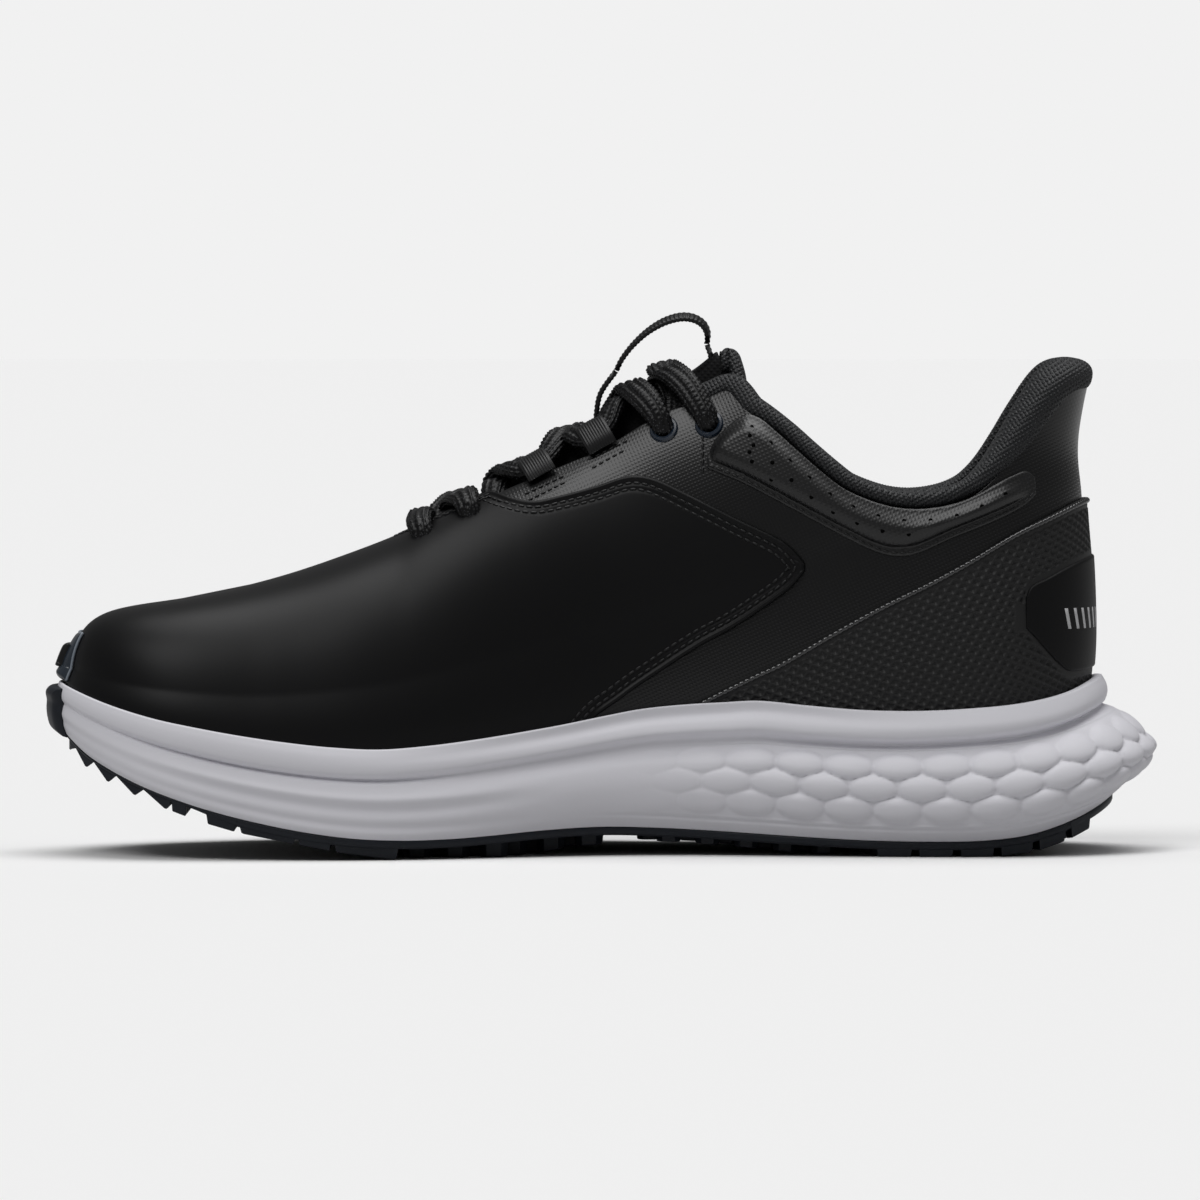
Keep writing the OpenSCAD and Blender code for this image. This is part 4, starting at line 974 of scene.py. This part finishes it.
def vamp():
    qs = np.unique(np.concatenate([np.linspace(-VAMP_END, VAMP_END, 361), spread(-VAMP_END, VAMP_END, 60)]))
    x = x_of(qs)
    lows = np.where(x < -7, above_board(qs), np.maximum(above_board(qs), share_on(qs, VAMP_LOW_PTS)))
    highs = vamp_top(qs)
    on_ridge = highs > 0.9999

    def lift(q, h, p, d):
        # no rounded edge where both halves meet on the ridge, a slight roll inwards at the throat
        near = np.broadcast_to(on_ridge[None, :], q.shape) & (h > 0.5)
        z = np.where(near, 1.15 * (1 - round_edge(d, 0.9)), 0.0)
        seam = 0.3 * smooth((1.6 - d) / 0.5) - 0.22 * sum(bell(d - row, 0.4) for row in VAMP_SEAMS)
        far = (p[..., 2] > hermite(RIM_PTS, p[..., 0]) + 1) & ~near & (x_of(q) > -52)
        return z + np.where(far, seam, 0.0)

    panel("vamp_panel", qs, lows, highs, ease(90), OUT_QUARTER, 1.15, "vamp", "lhse", 0.9, lift, ["vamp"],
          skip_top=on_ridge, merge=0.02)


vamp()


def quarter(side, s):
    """Side of the upper, from the throat round to the heel."""
    q0 = q_of(-49)
    qs = s * np.unique(np.concatenate([np.linspace(q0, 1.0, 260), spread(q0, 1, 50)]))[::s]
    panel("quarter_" + side + "_ripstop", qs, above_board(qs), top_edge(qs) - 0.004, ease(80), IN_QUARTER,
          OUT_QUARTER - IN_QUARTER, "quarter", "lh", 0.6, None, ["quarter_" + side], under=0.0)


for side, s in SIDES.items():
    quarter(side, s)


def puff(low, high, start, end):
    """How far the padded collar panel swells, from the distances to its four edges."""
    rise = round_edge(low - 2.3, 4.2) * (1 - 0.75 * smooth((5.5 - high) / 5.5))
    return 2.6 * rise * smooth((start - 1.5) / 9) * round_edge(end - 1.5, 5)


def panel_top(q):
    return np.minimum(share_on(q, PANEL_HIGH_PTS), top_edge(q) - 0.002)


PERFORATION_LINES = 3.3, 6.7, 10.1
PERFORATION_STEP, PERFORATION_R = 3.3, 0.55


def collar_panel(side, s):
    q0, q1 = q_of(26.6), q_of(111.2)
    qs = s * spread(q0, q1, 150)[::s]
    low, high = share_on(qs, PANEL_LOW_PTS), panel_top(qs)

    def lift(q, h, p, d):
        return puff(*(edge_distance(p, edge) for edge in "lhse"))

    o = panel("collar_panel_" + side + "_puffed", qs, low, high, ease(60), OUT_QUARTER, 0.6, "panel", "lhse", 0.8, lift,
              ["collar_panel_" + side])
    # perforations in three staggered lines below the collar's edge, each a flat near-black disc: painted shade for the
    # dark inside of the hole
    parts = []
    qq = s * np.linspace(q0 + 0.012, q1 - 0.02, 500)
    eq, eh = line_even(qq, panel_top(qq), 0.25)
    for k, down in enumerate(PERFORATION_LINES):
        mq, mh = line_even(*inset(eq, eh, down, s), PERFORATION_STEP)
        mq, mh = mq[(k % 2)::2], mh[(k % 2)::2]
        p, lo = last_point(mq, mh), share_on(mq, PANEL_LOW_PTS)
        d_low = np.linalg.norm(p - last_point(mq, lo), axis=-1)
        d_high = np.linalg.norm(p - last_point(mq, panel_top(mq)), axis=-1)
        swell = puff(d_low, d_high, p[:, 0] - x_of(q0), x_of(q1) - p[:, 0])
        p = on_last(mq, mh, OUT_QUARTER + 0.6 + swell + 0.03)
        n = last_normal(mq, mh)
        inside = (np.abs(mq) > q0 + 0.012) & (np.abs(mq) < q1 - 0.02) & (mh > lo)
        clear = np.minimum(d_low, d_high) > (3.2 if k else 2)
        parts += [disc(p[i], n[i], [0, 0, 1.0], PERFORATION_R, 12) for i in np.flatnonzero(inside & clear)]
    build("collar_pit_shade_" + side, join(parts), "shade_disc")


for side, s in SIDES.items():
    collar_panel(side, s)


def overlay_columns(q0, gap):
    """q round the heel, a constant gap apart."""
    u = np.linspace(q0, 2 - q0, 4001)
    p = last_point(u, 0.25)
    s = run(p)
    return np.interp(np.linspace(0, s[-1], int(s[-1] / gap)), s, u)


# the net on the heel: cells per mm along the outline and upwards, in its two directions
NET_ALONG, NET_UP = (0.3985, -0.1701), (0.2463, 0.4567)
NET_DEPTH = 0.55


def heel_overlay():
    q0 = q_of(23.6)
    qs = np.unique(np.concatenate([overlay_columns(q0, 0.33), spread(q0, 2 - q0, 40)]))
    low, high = above_board(qs), share_on(qs, OVERLAY_PTS)

    def lift(q, h, p, d):
        # a net of ridges round sunken diamonds, following the outline round the heel
        x, z = x_of(q), p[..., 2]
        s = run(last_point(qs, 0.2)[:, :2])
        s = np.abs(s - s[-1] / 2)[None, :]
        a, b = (along * s + up * z for along, up in zip(NET_ALONG, NET_UP))
        to_middle = np.maximum(np.abs(a - np.round(a)), np.abs(b - np.round(b)))
        cell = np.clip((0.46 - to_middle) / 0.3, 0, 1)
        off_patch = np.maximum(105.6 - x, np.maximum(hermite(PATCH_LOW_PTS, x) - z, z - hermite(PATCH_HIGH_PTS, x)))
        cell = cell * smooth((off_patch - 1.5) / 0.4)
        return (0.25 - NET_DEPTH * cell) * smooth((d - 2.0) / 0.7) + 0.15 * smooth((2.2 - d) / 0.4) * round_edge(d, 0.8)

    rows = np.unique(np.concatenate([np.linspace(0, 1, 184), ease(120)[:7], ease(120)[-7:]]))
    panel("heel_overlay_moulding", qs, low, high, rows, OUT_QUARTER, 1.15, "overlay", "lhse", 0.8, lift,
          ["heel_overlay"])
    # its shiny, finely toothed top edge
    eq, eh = line_even(qs, high, 0.3)
    mq, mh = inset(eq, eh, 0.5, 1)
    path = on_last(mq, mh, 0.2)
    size = 0.48 + 0.22 * np.abs(np.sin(np.arange(len(path)) * 0.3 / 1.5 * np.pi))
    mesh = tube_mesh(path, *carried(path, last_normal(mq[:1], mh[:1])[0]), round_section(8, size))
    build("heel_overlay_edging", mesh, "overlay_edge")


heel_overlay()


# the printed bars on the heel patch: their pitch, half widths, heights and slant
BAR_PITCH, BAR_SLANT = 3.5, 0.25
BAR_ACROSS, BAR_Z = (-0.6, -0.2, 0.2, 0.6), np.linspace(57, 62.2, 5)


def heel_patch():
    q0 = q_of(106.6)
    qs = spread(q0, 2 - q0, 160)
    low, high = share_on(qs, PATCH_LOW_PTS), share_on(qs, PATCH_HIGH_PTS)
    panel("heel_patch_smooth", qs, low, high, ease(70), 0.1, 0.75, "patch", "lhse", 0.8, None, ["heel_patch"])
    # a plain printed row of slanted bars
    qf = np.linspace(q0, 2 - q0, 400)
    s = run(last_point(qf, 0.24))
    z, w = np.meshgrid(BAR_Z, BAR_ACROSS, indexing="ij")
    parts = []
    for i in range(-7, 8):
        q = np.interp(s[-1] / 2 + i * BAR_PITCH + w + (z - 59.6) * BAR_SLANT, s, qf)
        top = on_last(q, cup_share(q, z), 0.87)
        parts.append(shell_mesh(top, top - 0.15 * unit(top - np.array([80, 0, 60.0]))))
    build("heel_patch_bars", join(parts), "mark")


heel_patch()


# ---- the toe guard ----


def guard_bounds(qs):
    """The toe guard's lower and upper edge."""
    low = cup_share(qs, hermite(RIM_PTS, x_of(qs)) + 0.5)
    high = cup_share(qs, 55.6 - 96 * qs * qs)
    return low, high


def guard_off(q, h, low, high):
    """How far the toe guard stands out."""
    v = np.clip((h - low) / (high - low), 0, 1)
    return 0.75 + (1 - v) * 2.4 * smooth((0.046 - np.abs(q)) / 0.024)


def toe_guard():
    qs = spread(-0.041, 0.041, 60)
    low, high = guard_bounds(qs)

    def lift(q, h, p, d):
        return guard_off(q, h, low[None, :], high[None, :]) * round_edge(d, 1.5) - 0.75 * round_edge(d, 0.75)

    panel("toe_guard_moulding", qs, low, high, ease(50), 0, 0.75, "guard", "lhse", 0.75, lift, ["toe_guard"])
    # a thin bead along the guard's edge in light grey: painted highlight of its border
    eq = np.concatenate([np.full(40, -0.0408), np.linspace(-0.0408, 0.0408, 120), np.full(40, 0.0408)])
    el, eh = guard_bounds(eq)
    v = np.concatenate([np.linspace(0.02, 0.985, 40), np.full(120, 0.985), np.linspace(0.985, 0.02, 40)])
    path = even(on_last(eq, mix(el, eh, v), 0.42), 0.3)
    mesh = tube_mesh(path, *carried(path, [-1, 0, 0]), round_section(8, [0.36]))
    build("toe_guard_edge_highlight", mesh, "guard_edge_highlight")


def toe_ridge():
    qs = spread(-0.025, 0.025, 50)
    low = cup_share(qs, np.full(qs.shape, 46.2))
    high = cup_share(qs, 52.4 - 96 * qs * qs)
    g_low, g_high = guard_bounds(qs)

    def lift(q, h, p, d):
        return guard_off(q, h, g_low[None, :], g_high[None, :]) + 1.1 * round_edge(d, 1.3)

    panel("toe_ridge_rubber", qs, low, high, ease(34), 0, 0.3, "ridge", "lhse", 0.4, lift, ["toe_ridge"])


toe_guard()
toe_ridge()


# ---- lining, padding and collar ----


def lining_top(q):
    """The lining's top edge."""
    x = x_of(q)
    t = share_at_y(x, hermite(LINING_THROAT_PTS, x))
    c = mix(t, share_on(q, COLLAR_PTS), smooth((x - 30) / 10))
    return np.where(x <= -62, 1.0, np.where(x < 30, t, c))


def lining():
    qs = ring_of(300)
    high = lining_top(qs)
    q, h = between(qs, above_board(qs), high, np.linspace(0, 1, 50))
    off = lining_out(q, h)
    mesh = shell_mesh(on_last(q, h, off), on_last(q, h, off - 1.0), closed=True, skip_top=high > 0.9999)
    build("lining_textile", mesh, "lining", ["lining"], merge=0.02)


lining()


def collar_foam():
    q0 = q_of(42)
    qs = np.linspace(q0, 2 - q0, 130)
    low = share_on(qs, [[p[0], p[1] - 17] for p in COLLAR_PTS])
    q, h = between(qs, low, share_on(qs, COLLAR_PTS) - 0.008, np.linspace(0, 1, 20))
    mesh = shell_mesh(on_last(q, h, OUT_INNER), on_last(q, h, lining_out(q, h) + 0.35))
    o = build("collar_foam_pad", mesh, "foam", ["collar_foam"])


collar_foam()


def collar_roll():
    q0 = q_of(23.4)
    qs = overlay_columns(q0, 0.2)
    h = top_edge(qs)
    x = x_of(qs)
    a = on_last(qs, h, OUT_QUARTER + 0.75)
    b = on_last(qs, h, mix(lining_out(qs, h) - 1.0, np.full(h.shape, -4.6), smooth((34 - x) / 8)))
    mid = (a + b) / 2
    t = unit(np.gradient(mid, axis=0))
    half = np.linalg.norm((a - b) / 2, axis=1)
    u = unit((a - b) / 2)
    w = unit(np.cross(t, u))
    w[w[:, 2] < 0] *= -1
    high, low = 4.2, 0.7 + 0.9 * smooth((48 - x) / 14) + 3.4 * smooth((x - 92) / 20)
    tall, lift = (high + low) / 2, (high - low) / 2
    s = run(mid)
    end = rounded_ends(s, 3.2, 0.02)
    ang = circle(36)
    rib = 1 + 0.022 * np.cos((s[:, None] / 0.85 + ang[None, :] / np.pi * 2.5) * 2 * np.pi)
    sec = np.stack(squarish(ang, 0.8), -1) * rib[..., None]
    o = knit_roll("collar_roll_knit", "collar_roll", mid + w * lift[:, None], u * (half * end)[:, None],
                  w * (tall * end)[:, None], sec)


collar_roll()


# ---- tongue ----

TONGUE_W = [[-57, 15], [-46, 20], [-20, 22], [0, 23], [20, 24], [30, 23]]


def tongue_top(x, u):
    """The distance off the last of the tongue's outer face, below 0 inside it."""
    return (-6.8 + 4.2 * smooth((0.52 - np.abs(u)) / 0.42) - smooth((np.abs(u) - 0.5) / 0.3)
            + 1.3 * smooth((-28 - x) / 8) * (1 - u * u) + 2.8 * smooth((x - 20) / 12) * (1 - u * u))


def tongue():
    xs = np.linspace(-57, 30, 200)
    us = np.linspace(-1, 1, 90)
    x, u = np.meshgrid(xs, us, indexing="ij")
    y = u * hermite(TONGUE_W, x)
    outer = over(x, y, tongue_top(x, u))
    inner = over(x, y, tongue_top(x, u) - 1.6 - 3.4 * (1 - u ** 4) * smooth((x + 62) / 20))
    d = edge_distance(outer, "lhse")
    mid = (outer + inner) / 2
    k = (0.25 + 0.75 * round_edge(d, 1.6))[..., None]
    vs, fs = shell_mesh(mid + (outer - mid) * k, mid + (inner - mid) * k)
    o = build("tongue_padding", (vs, fs[:, ::-1]), "tongue", ["tongue"])
    # the knitted roll along its top
    us = np.linspace(-1, 1, 160)
    y = us * 23.0
    x30 = np.full(us.shape, 30.0)
    mid = over(x30, y, tongue_top(x30, us) - 0.8 - 1.7 * (1 - us ** 4))
    n = normal_over(x30, y)
    t = unit(np.gradient(mid, axis=0))
    w = unit(np.cross(n, t))
    w[w[:, 0] < 0] *= -1
    r = 1.5 + 1.3 * (1 - us ** 4)
    end = rounded_ends(run(mid), 2.4, 0.03)
    o = knit_roll("tongue_binding_knit", "tongue_binding", mid + w * 2.1, n * (r * end)[:, None],
                  w * (1.9 * end)[:, None], round_section(28, [1]))


tongue()


# ---- laces ----

LACE_THICK, END_WIDTH, END_THICK = 3.3, 4.8, 2.4
# half of the lace: x, y, height off the last, width, and what is added to the height where it runs under the other
STRAND = [
    [-45.5, 1, 1.8, 5, 0], [-45.5, -9, 1.8, 5, 0], [-45.5, -14.4, 1.6, 4.4, 0], [-45.5, -16.8, -0.4, 4, 0],
    [-45.3, -16.8, -2.8, 4, 0], [-44.8, -13.4, -4.5, 4.6, 0], [-43.2, -7, -3.6, 5, 0], [-41.4, -3, -0.4, 5, -1],
    [-39.5, 0, 0.9, 5, -3.3], [-37.3, 5, 1.5, 5, -1], [-34.4, 11.4, 1.9, 5, 0], [-33.6, 15.4, 1.6, 4.4, 0],
    [-33.5, 17.3, -0.4, 4, 0], [-33.3, 17.2, -2.8, 4, 0], [-32.4, 14.4, -4.6, 4.6, 0], [-29.6, 8.4, -4, 5, 0],
    [-27, 3.4, -0.6, 5, -0.8], [-24.8, 0, 0.9, 5, -3.3], [-22, -6, 0.6, 5, -0.1], [-19.6, -9.4, -0.4, 5, 0],
    [-16.8, -10.2, -0.6, 5, 0], [-14.2, -8.8, -0.4, 5, 0], [-11.6, -4.4, 0.6, 5, -0.9], [-9.6, 0, 0.9, 5, -3.3],
    [-7, 6.4, 0.4, 5, -0.2], [-4.6, 10.5, -0.4, 5, 0], [-1.8, 11.3, -0.6, 5, 0], [0.8, 9.9, -0.4, 5, 0],
    [3.8, 5.4, 0.6, 5, -0.1], [6.6, 0, 1.4, 5, -3.3], [8.8, -6.6, 2, 5, -0.6], [11.8, -12.6, 1.9, 5, 0],
    [14.4, -16.5, 0.8, 4.2, 0], [15.5, -18.2, -1.2, 3.8, 0], [15.6, -18.2, -3.4, 3.8, 0],
    [17.2, -15.6, -4.9, 4.6, 0], [17.4, -10, -4.3, 5, 0], [16.2, -4.4, -1.2, 5, -2], [15, 0, 1.2, 5, -3.3],
    [17.2, 6.4, 1.9, 5, -1], [21.6, 13, 1.8, 5, 0], [25.6, 18.2, 0.7, 4.2, 0], [27, 20, -1.2, 3.8, 0],
    [27.1, 20, -4, 3.8, 0]
]


def braid(path, widths, thick, a, b, sides, pitch, depth):
    """A flat oval braided lace along a path: plaited columns of yarn, every other column half a pitch on."""
    s = run(path)[:, None]
    ang = circle(sides)
    col = ang[None, :] / (2 * np.pi) * (sides // 4)
    half = np.floor(col + 0.5) % 2 / 2
    yarn = np.abs(np.cos(col * np.pi))
    knot = np.abs(np.sin((s / pitch + half) * np.pi))
    bump = depth * (yarn * (0.35 + 0.65 * knot) - 0.6)
    cu, cw = squarish(ang, 0.8)
    wide = widths[:, None] / 2
    sec = np.stack([cu[None] * (wide + bump), cw[None] * (thick / 2 + bump)], -1)
    return tube_mesh(path, a, b, sec)


def laid_flat(path, normal):
    """Width and thickness directions of a lace that lies flat on a surface with that normal."""
    t = unit(np.gradient(path, axis=0))
    a = np.cross(normal, t)
    k = np.linalg.norm(a, axis=1, keepdims=True)
    a = a / np.maximum(k, 1e-6) * np.where(a[:, :1] < 0, -1, 1) * np.clip((k - 0.2) / 0.4, 0.001, 1)
    g = np.exp(-0.5 * (np.arange(-14, 15) / 6.0) ** 2)
    a = np.stack([np.convolve(np.pad(a[:, i], 14, "edge"), g, "valid") for i in range(3)], -1)
    a = unit(a - t * (a * t).sum(1, keepdims=True))
    return a, np.cross(a, t)


def strand_path(s, under):
    """One half of the lace: points, width and normal, in even steps."""
    rows = np.array(STRAND)
    q = np.where(rows[:, 1] * s < 0, -1, 1) * q_of(rows[:, 0])
    h = share_at_y(rows[:, 0], rows[:, 1])
    p = on_last(q, h, rows[:, 2] + (rows[:, 4] if under else 0))
    return even(spline(np.column_stack([p, rows[:, 3], last_normal(q, h)]), 12), 0.27)


def laces():
    parts = []
    for s, under in ((1, False), (-1, True)):
        fine = strand_path(s, under)
        path, widths, normal = fine[:, :3], fine[:, 3] * 1.42, unit(fine[:, 4:])
        parts.append(braid(path, widths, LACE_THICK, *laid_flat(path, normal), 48, 1.35, 0.55))
    build("lace_braided", join(parts), "lace", ["lace"])


laces()

# how each end hangs from its eyelet and lies on the insole: x, distance from the middle (below 0 on its own side), z
END_ROUTE = [[27.9, -16, 106], [28.4, -16.8, 101.5], [29.4, -18.4, 95], [30.8, -19.5, 88], [33, -20.7, 79],
             [36.6, -22, 67], [42, -22.6, 54], [49, -22, 44], [58, -20.8, 38.6], [70, -20, 37.8], [81, -18.4, 37.8],
             [88.6, -13.6, 38], [88, -8, 38], [80, -5.8, 37.8], [68, -5.4, 37.6], [54, -5.4, 37.2], [40, -5.6, 36.4],
             [25, -5.8, 34.8], [12, -6.4, 33.2], [4, -7.4, 32.4]]


def lace_end(side, s):
    rows = np.array(END_ROUTE)
    p = np.stack([rows[:, 0], hermite(CENTRE_PTS, rows[:, 0]) - rows[:, 1] * s, rows[:, 2]], -1)
    path = even(spline(p, 10), 0.4)
    mesh = braid(path, np.full(len(path), END_WIDTH), END_THICK, *carried(path, [1, 0, 0]), 32, 1.4, 0.4)
    o = build("lace_end_" + side + "_braided", mesh, "lace", ["lace_end_" + side])
    d = unit(p[-1] - p[-2])
    a = p[-1] + d * 0.1
    t = np.array([0, 0.25, 0.6, 9, 17.4, 17.8, 18])
    r = np.array([1.2, 1.42, 1.5, 1.5, 1.45, 1.3, 0.9])
    axis = a + np.outer(t, d)
    mesh = tube_mesh(axis, *carried(axis, [0, 0, 1]), round_section(20, r))
    tip = build("aglet_" + side + "_film", mesh, "aglet", ["aglet_" + side])


for side, s in SIDES.items():
    lace_end(side, s)


KEEPERS = (-17, 10.1), (-2, 11.2)
EYELETS, EYELET_R = ((15.5, 18.2), (27, 20)), 2.3
# a keeper's webbing in section: outwards over the lace, and up from the last
KEEPER_LINE = [[6.8, 0.1], [5.6, 1.2], [4.4, 1.9], [2.6, 2.3], [0, 2.35], [-2.2, 1.9], [-3.4, 0.9], [-3.6, -0.3],
               [-2.8, -1.6], [-1, -2.25], [1.2, -2.2], [2.8, -1.7]]


def keeper(x, y, s):
    """A loop of ribbed webbing that comes out of the throat's edge, over the lace and back into the quarter."""
    p = over(x, s * y, -0.6)
    up = normal_over(x, s * (y + 2))
    along = over(x + 4, s * y, 0) - over(x - 4, s * y, 0)
    along = unit(along - up * (along @ up))
    outw = np.cross(along, up)
    outw = outw if outw[1] * s > 0 else -outw
    fine = even(spline(KEEPER_LINE, 10), 0.3)
    path = p + fine[:, :1] * outw + fine[:, 1:] * up
    width, thickness = 3.9, 0.4
    f = np.linspace(-1, 1, 60)
    rib = 0.13 * np.abs(np.sin(f * np.pi * 5.5))
    top = np.stack([f * width, thickness * np.sqrt(1 - np.abs(f) ** 8) + rib], -1)
    low = np.stack([f * width, -thickness - rib], -1)[-2:0:-1]
    through = np.cross(along, unit(np.gradient(path, axis=0)))
    return tube_mesh(path, along[None], through, np.concatenate([top, low])[None])


for side, s in SIDES.items():
    pair = join([keeper(x, y, s) for x, y in KEEPERS])
    build("lace_keepers_" + side + "_webbing", pair, "webbing", ["lace_keepers_" + side])


def eyelet_holes(side, s):
    parts = []
    for x, y in EYELETS:
        p = over(x, s * y, OUT_QUARTER + 0.02)
        # a flat near-black disc in each eyelet: painted shade for the dark inside of the hole
        parts.append(disc(p, normal_over(x, s * y), [1.0, 0, 0], EYELET_R, 28, 0.05))
    build("eyelet_pit_shade_" + side, join(parts), "shade_disc")


for side, s in SIDES.items():
    eyelet_holes(side, s)


# ---- pull loop ----

# the pull loop and the two feet it turns on: x and z
LOOP_PATH = [[3.753, 122.106], [5.2, 125], [7.8, 128.4], [11.4, 131.8], [15.6, 134.4], [19.8, 135.7], [23.2, 135.5],
             [25.8, 134], [27, 131.6], [26.886, 128.871]]
LOOP_FRONT = [[-1.4, 106.4], [-1.3, 111], [-0.2, 116.4], [3.681, 121.963]]
LOOP_REAR = [[28, 124.7], [27.7, 126.4], [26.88, 128.711]]
LOOP_Y, LOOP_HALF_WIDTH, LOOP_HALF_THICK = 1, 2.0, 0.68


def tape(path, hinged_start, turn=0.0):
    """Woven tape in the shoe's middle plane: it narrows almost to a point where it turns on the hinge."""
    fine = even(spline([[x, LOOP_Y, z] for x, z in path], 16), 0.15)
    t = unit(np.gradient(fine, axis=0))
    n = np.stack([-t[:, 2], np.zeros(len(t)), t[:, 0]], -1)
    s = run(fine)
    near = np.minimum(s, s[-1] - s) if hinged_start else s[-1] - s
    f = np.minimum(1, 0.03 + 0.45 * near)
    ang = circle(20)
    wide, thick = LOOP_HALF_WIDTH * squarish(ang, 0.5)[0], LOOP_HALF_THICK * squarish(ang, 0.7)[1]
    weave = 1 + 0.12 * np.cos(s[:, None] / 1.1 * 2 * np.pi + (ang[None, :] > np.pi) * np.pi)
    sec = np.stack([wide * f[:, None], thick * weave], -1)
    # the arch twists a little, most where it comes down at the back
    phi = (turn * np.sin(math.pi * (s / s[-1]) ** 1.9))[:, None]
    y = np.array([[0.0, 1.0, 0.0]])
    return tube_mesh(fine, np.cos(phi) * y + np.sin(phi) * n, np.cos(phi) * n - np.sin(phi) * y, sec)


build("pull_loop_webbing", tape(LOOP_PATH, True, 0.42), "webbing", ["pull_loop"], body="loop")
feet = join([tape(LOOP_FRONT, False), tape(LOOP_REAR, False)])
build("loop_base_webbing", feet, "webbing", ["loop_base"])


# ---- stitching ----


def seam_rows(name, q, h, insets, inward, off):
    """Rows of stitches at the distances in insets from a line."""
    eq, eh = line_even(q, h, 0.9)
    parts = []
    for d in insets:
        parts += stitches(*inset(eq, eh, d, inward), off)
    build(name, join(parts), "thread")


# ends of the stitched rows under each keeper, x and z
KEEPER_ROWS = [[[[-19.5, 91.8], [-10.1, 96.1]], [[-18.6, 90.2], [-9.7, 94.5]]],
               [[[-3.4, 100.4], [6, 105]], [[-2.5, 98.2], [6, 102.9]]]]

for side, s in SIDES.items():
    # the vamp's edge, from the bottom of the throat over the instep and down to the sole
    top_q = np.linspace(q_of(-50.5), VAMP_END - 0.0005, 400)
    low_q = np.linspace(VAMP_END - 0.0005, q_of(-4.5), 300)
    q, h = s * np.concatenate([top_q, low_q]), np.concatenate([vamp_top(top_q), share_on(low_q, VAMP_LOW_PTS)])
    seam_rows("vamp_stitching_" + side, q, h, VAMP_SEAMS, s, 0.0)
    # the collar panel: its front edge and along below its lower edge
    pq = np.linspace(q_of(26.9), q_of(110.6), 400)
    ph = share_on(pq, PANEL_LOW_PTS)
    seam_rows("collar_stitching_" + side, s * pq, ph, (0.9,), -s, OUT_QUARTER + 0.62)
    fh = np.linspace(float(share_on(q_of(27.2), PANEL_LOW_PTS)), float(top_edge(q_of(27.2))) - 0.01, 60)
    rows = stitches(s * np.full(60, q_of(25.4)), fh, OUT_QUARTER + 0.1)
    build("collar_front_stitching_" + side, join(rows), "thread")
    # box stitches that hold the keepers
    for i, rows in enumerate(KEEPER_ROWS):
        box = []
        for line in rows:
            q = np.linspace(q_of(line[0][0]), q_of(line[1][0]), 40)
            box += stitches(s * q, share_on(q, line), OUT_QUARTER + 0.12, 1.8, 1.3)
        build("keeper_stitching_" + side + "_" + str(i + 1), join(box), "thread")


# ---- CAD nodes that show as they are ----

for node, mat in (("toe_puff", "stiffener"), ("heel_counter", "stiffener"), ("eyelets_medial", "eyelet"),
                  ("eyelets_lateral", "eyelet")):
    o = bpy.data.objects[node]
    o.data.materials.clear()
    o.data.materials.append(M[mat])


# ---- floor and light ----


def by_ray(nt, unseen, seen, socket):
    """Gives a socket one value for the light it sends and another where the camera sees it."""
    ray = nt.nodes.new("ShaderNodeLightPath").outputs["Is Camera Ray"]
    tone = shader(nt, "MapRange", {"To Min": unseen, "To Max": seen})
    nt.links.new(ray, tone.inputs["Value"])
    nt.links.new(tone.outputs["Result"], socket)


def studio():
    me = bpy.data.meshes.new("floor")
    half = 40
    me.from_pydata([[-half, -half, 0], [half, -half, 0], [half, half, 0], [-half, half, 0]], [], [[0, 1, 2, 3]])
    o = bpy.data.objects.new("floor", me)
    bpy.context.scene.collection.objects.link(o)
    pale = material("floor_pale", (0.9, 0.9, 0.9), 0.9, 0.0)
    me.materials.append(pale)
    # the floor sends less light up on the shoe than its pale look would
    by_ray(pale.node_tree, 0.52, 0.895, pale.node_tree.nodes["Principled BSDF"].inputs["Base Color"])
    for name, toward, angle, power in (("key", (-0.5, -0.75, 1.3), 30, 0.95), ("top", (0.1, 0.25, 1.6), 45, 1.7),
                                       ("side", (0.9, -0.1, 0.9), 50, 0.12)):
        d = bpy.data.lights.new(name, "SUN")
        d.energy = power
        d.angle = math.radians(angle)
        li = bpy.data.objects.new(name, d)
        li.location = toward
        li.rotation_euler = (-Vector(toward)).to_track_quat("-Z", "Y").to_euler()
        bpy.context.scene.collection.objects.link(li)
    world = bpy.data.worlds.new("studio")
    bpy.context.scene.world = world
    world.use_nodes = True
    nt = world.node_tree
    bg = nt.nodes["Background"]
    bg.inputs["Color"].default_value = (1, 1, 1, 1)
    by_ray(nt, 0.16, 0.88, bg.inputs["Strength"])


studio()
bpy.context.scene.view_settings.view_transform = "Standard"
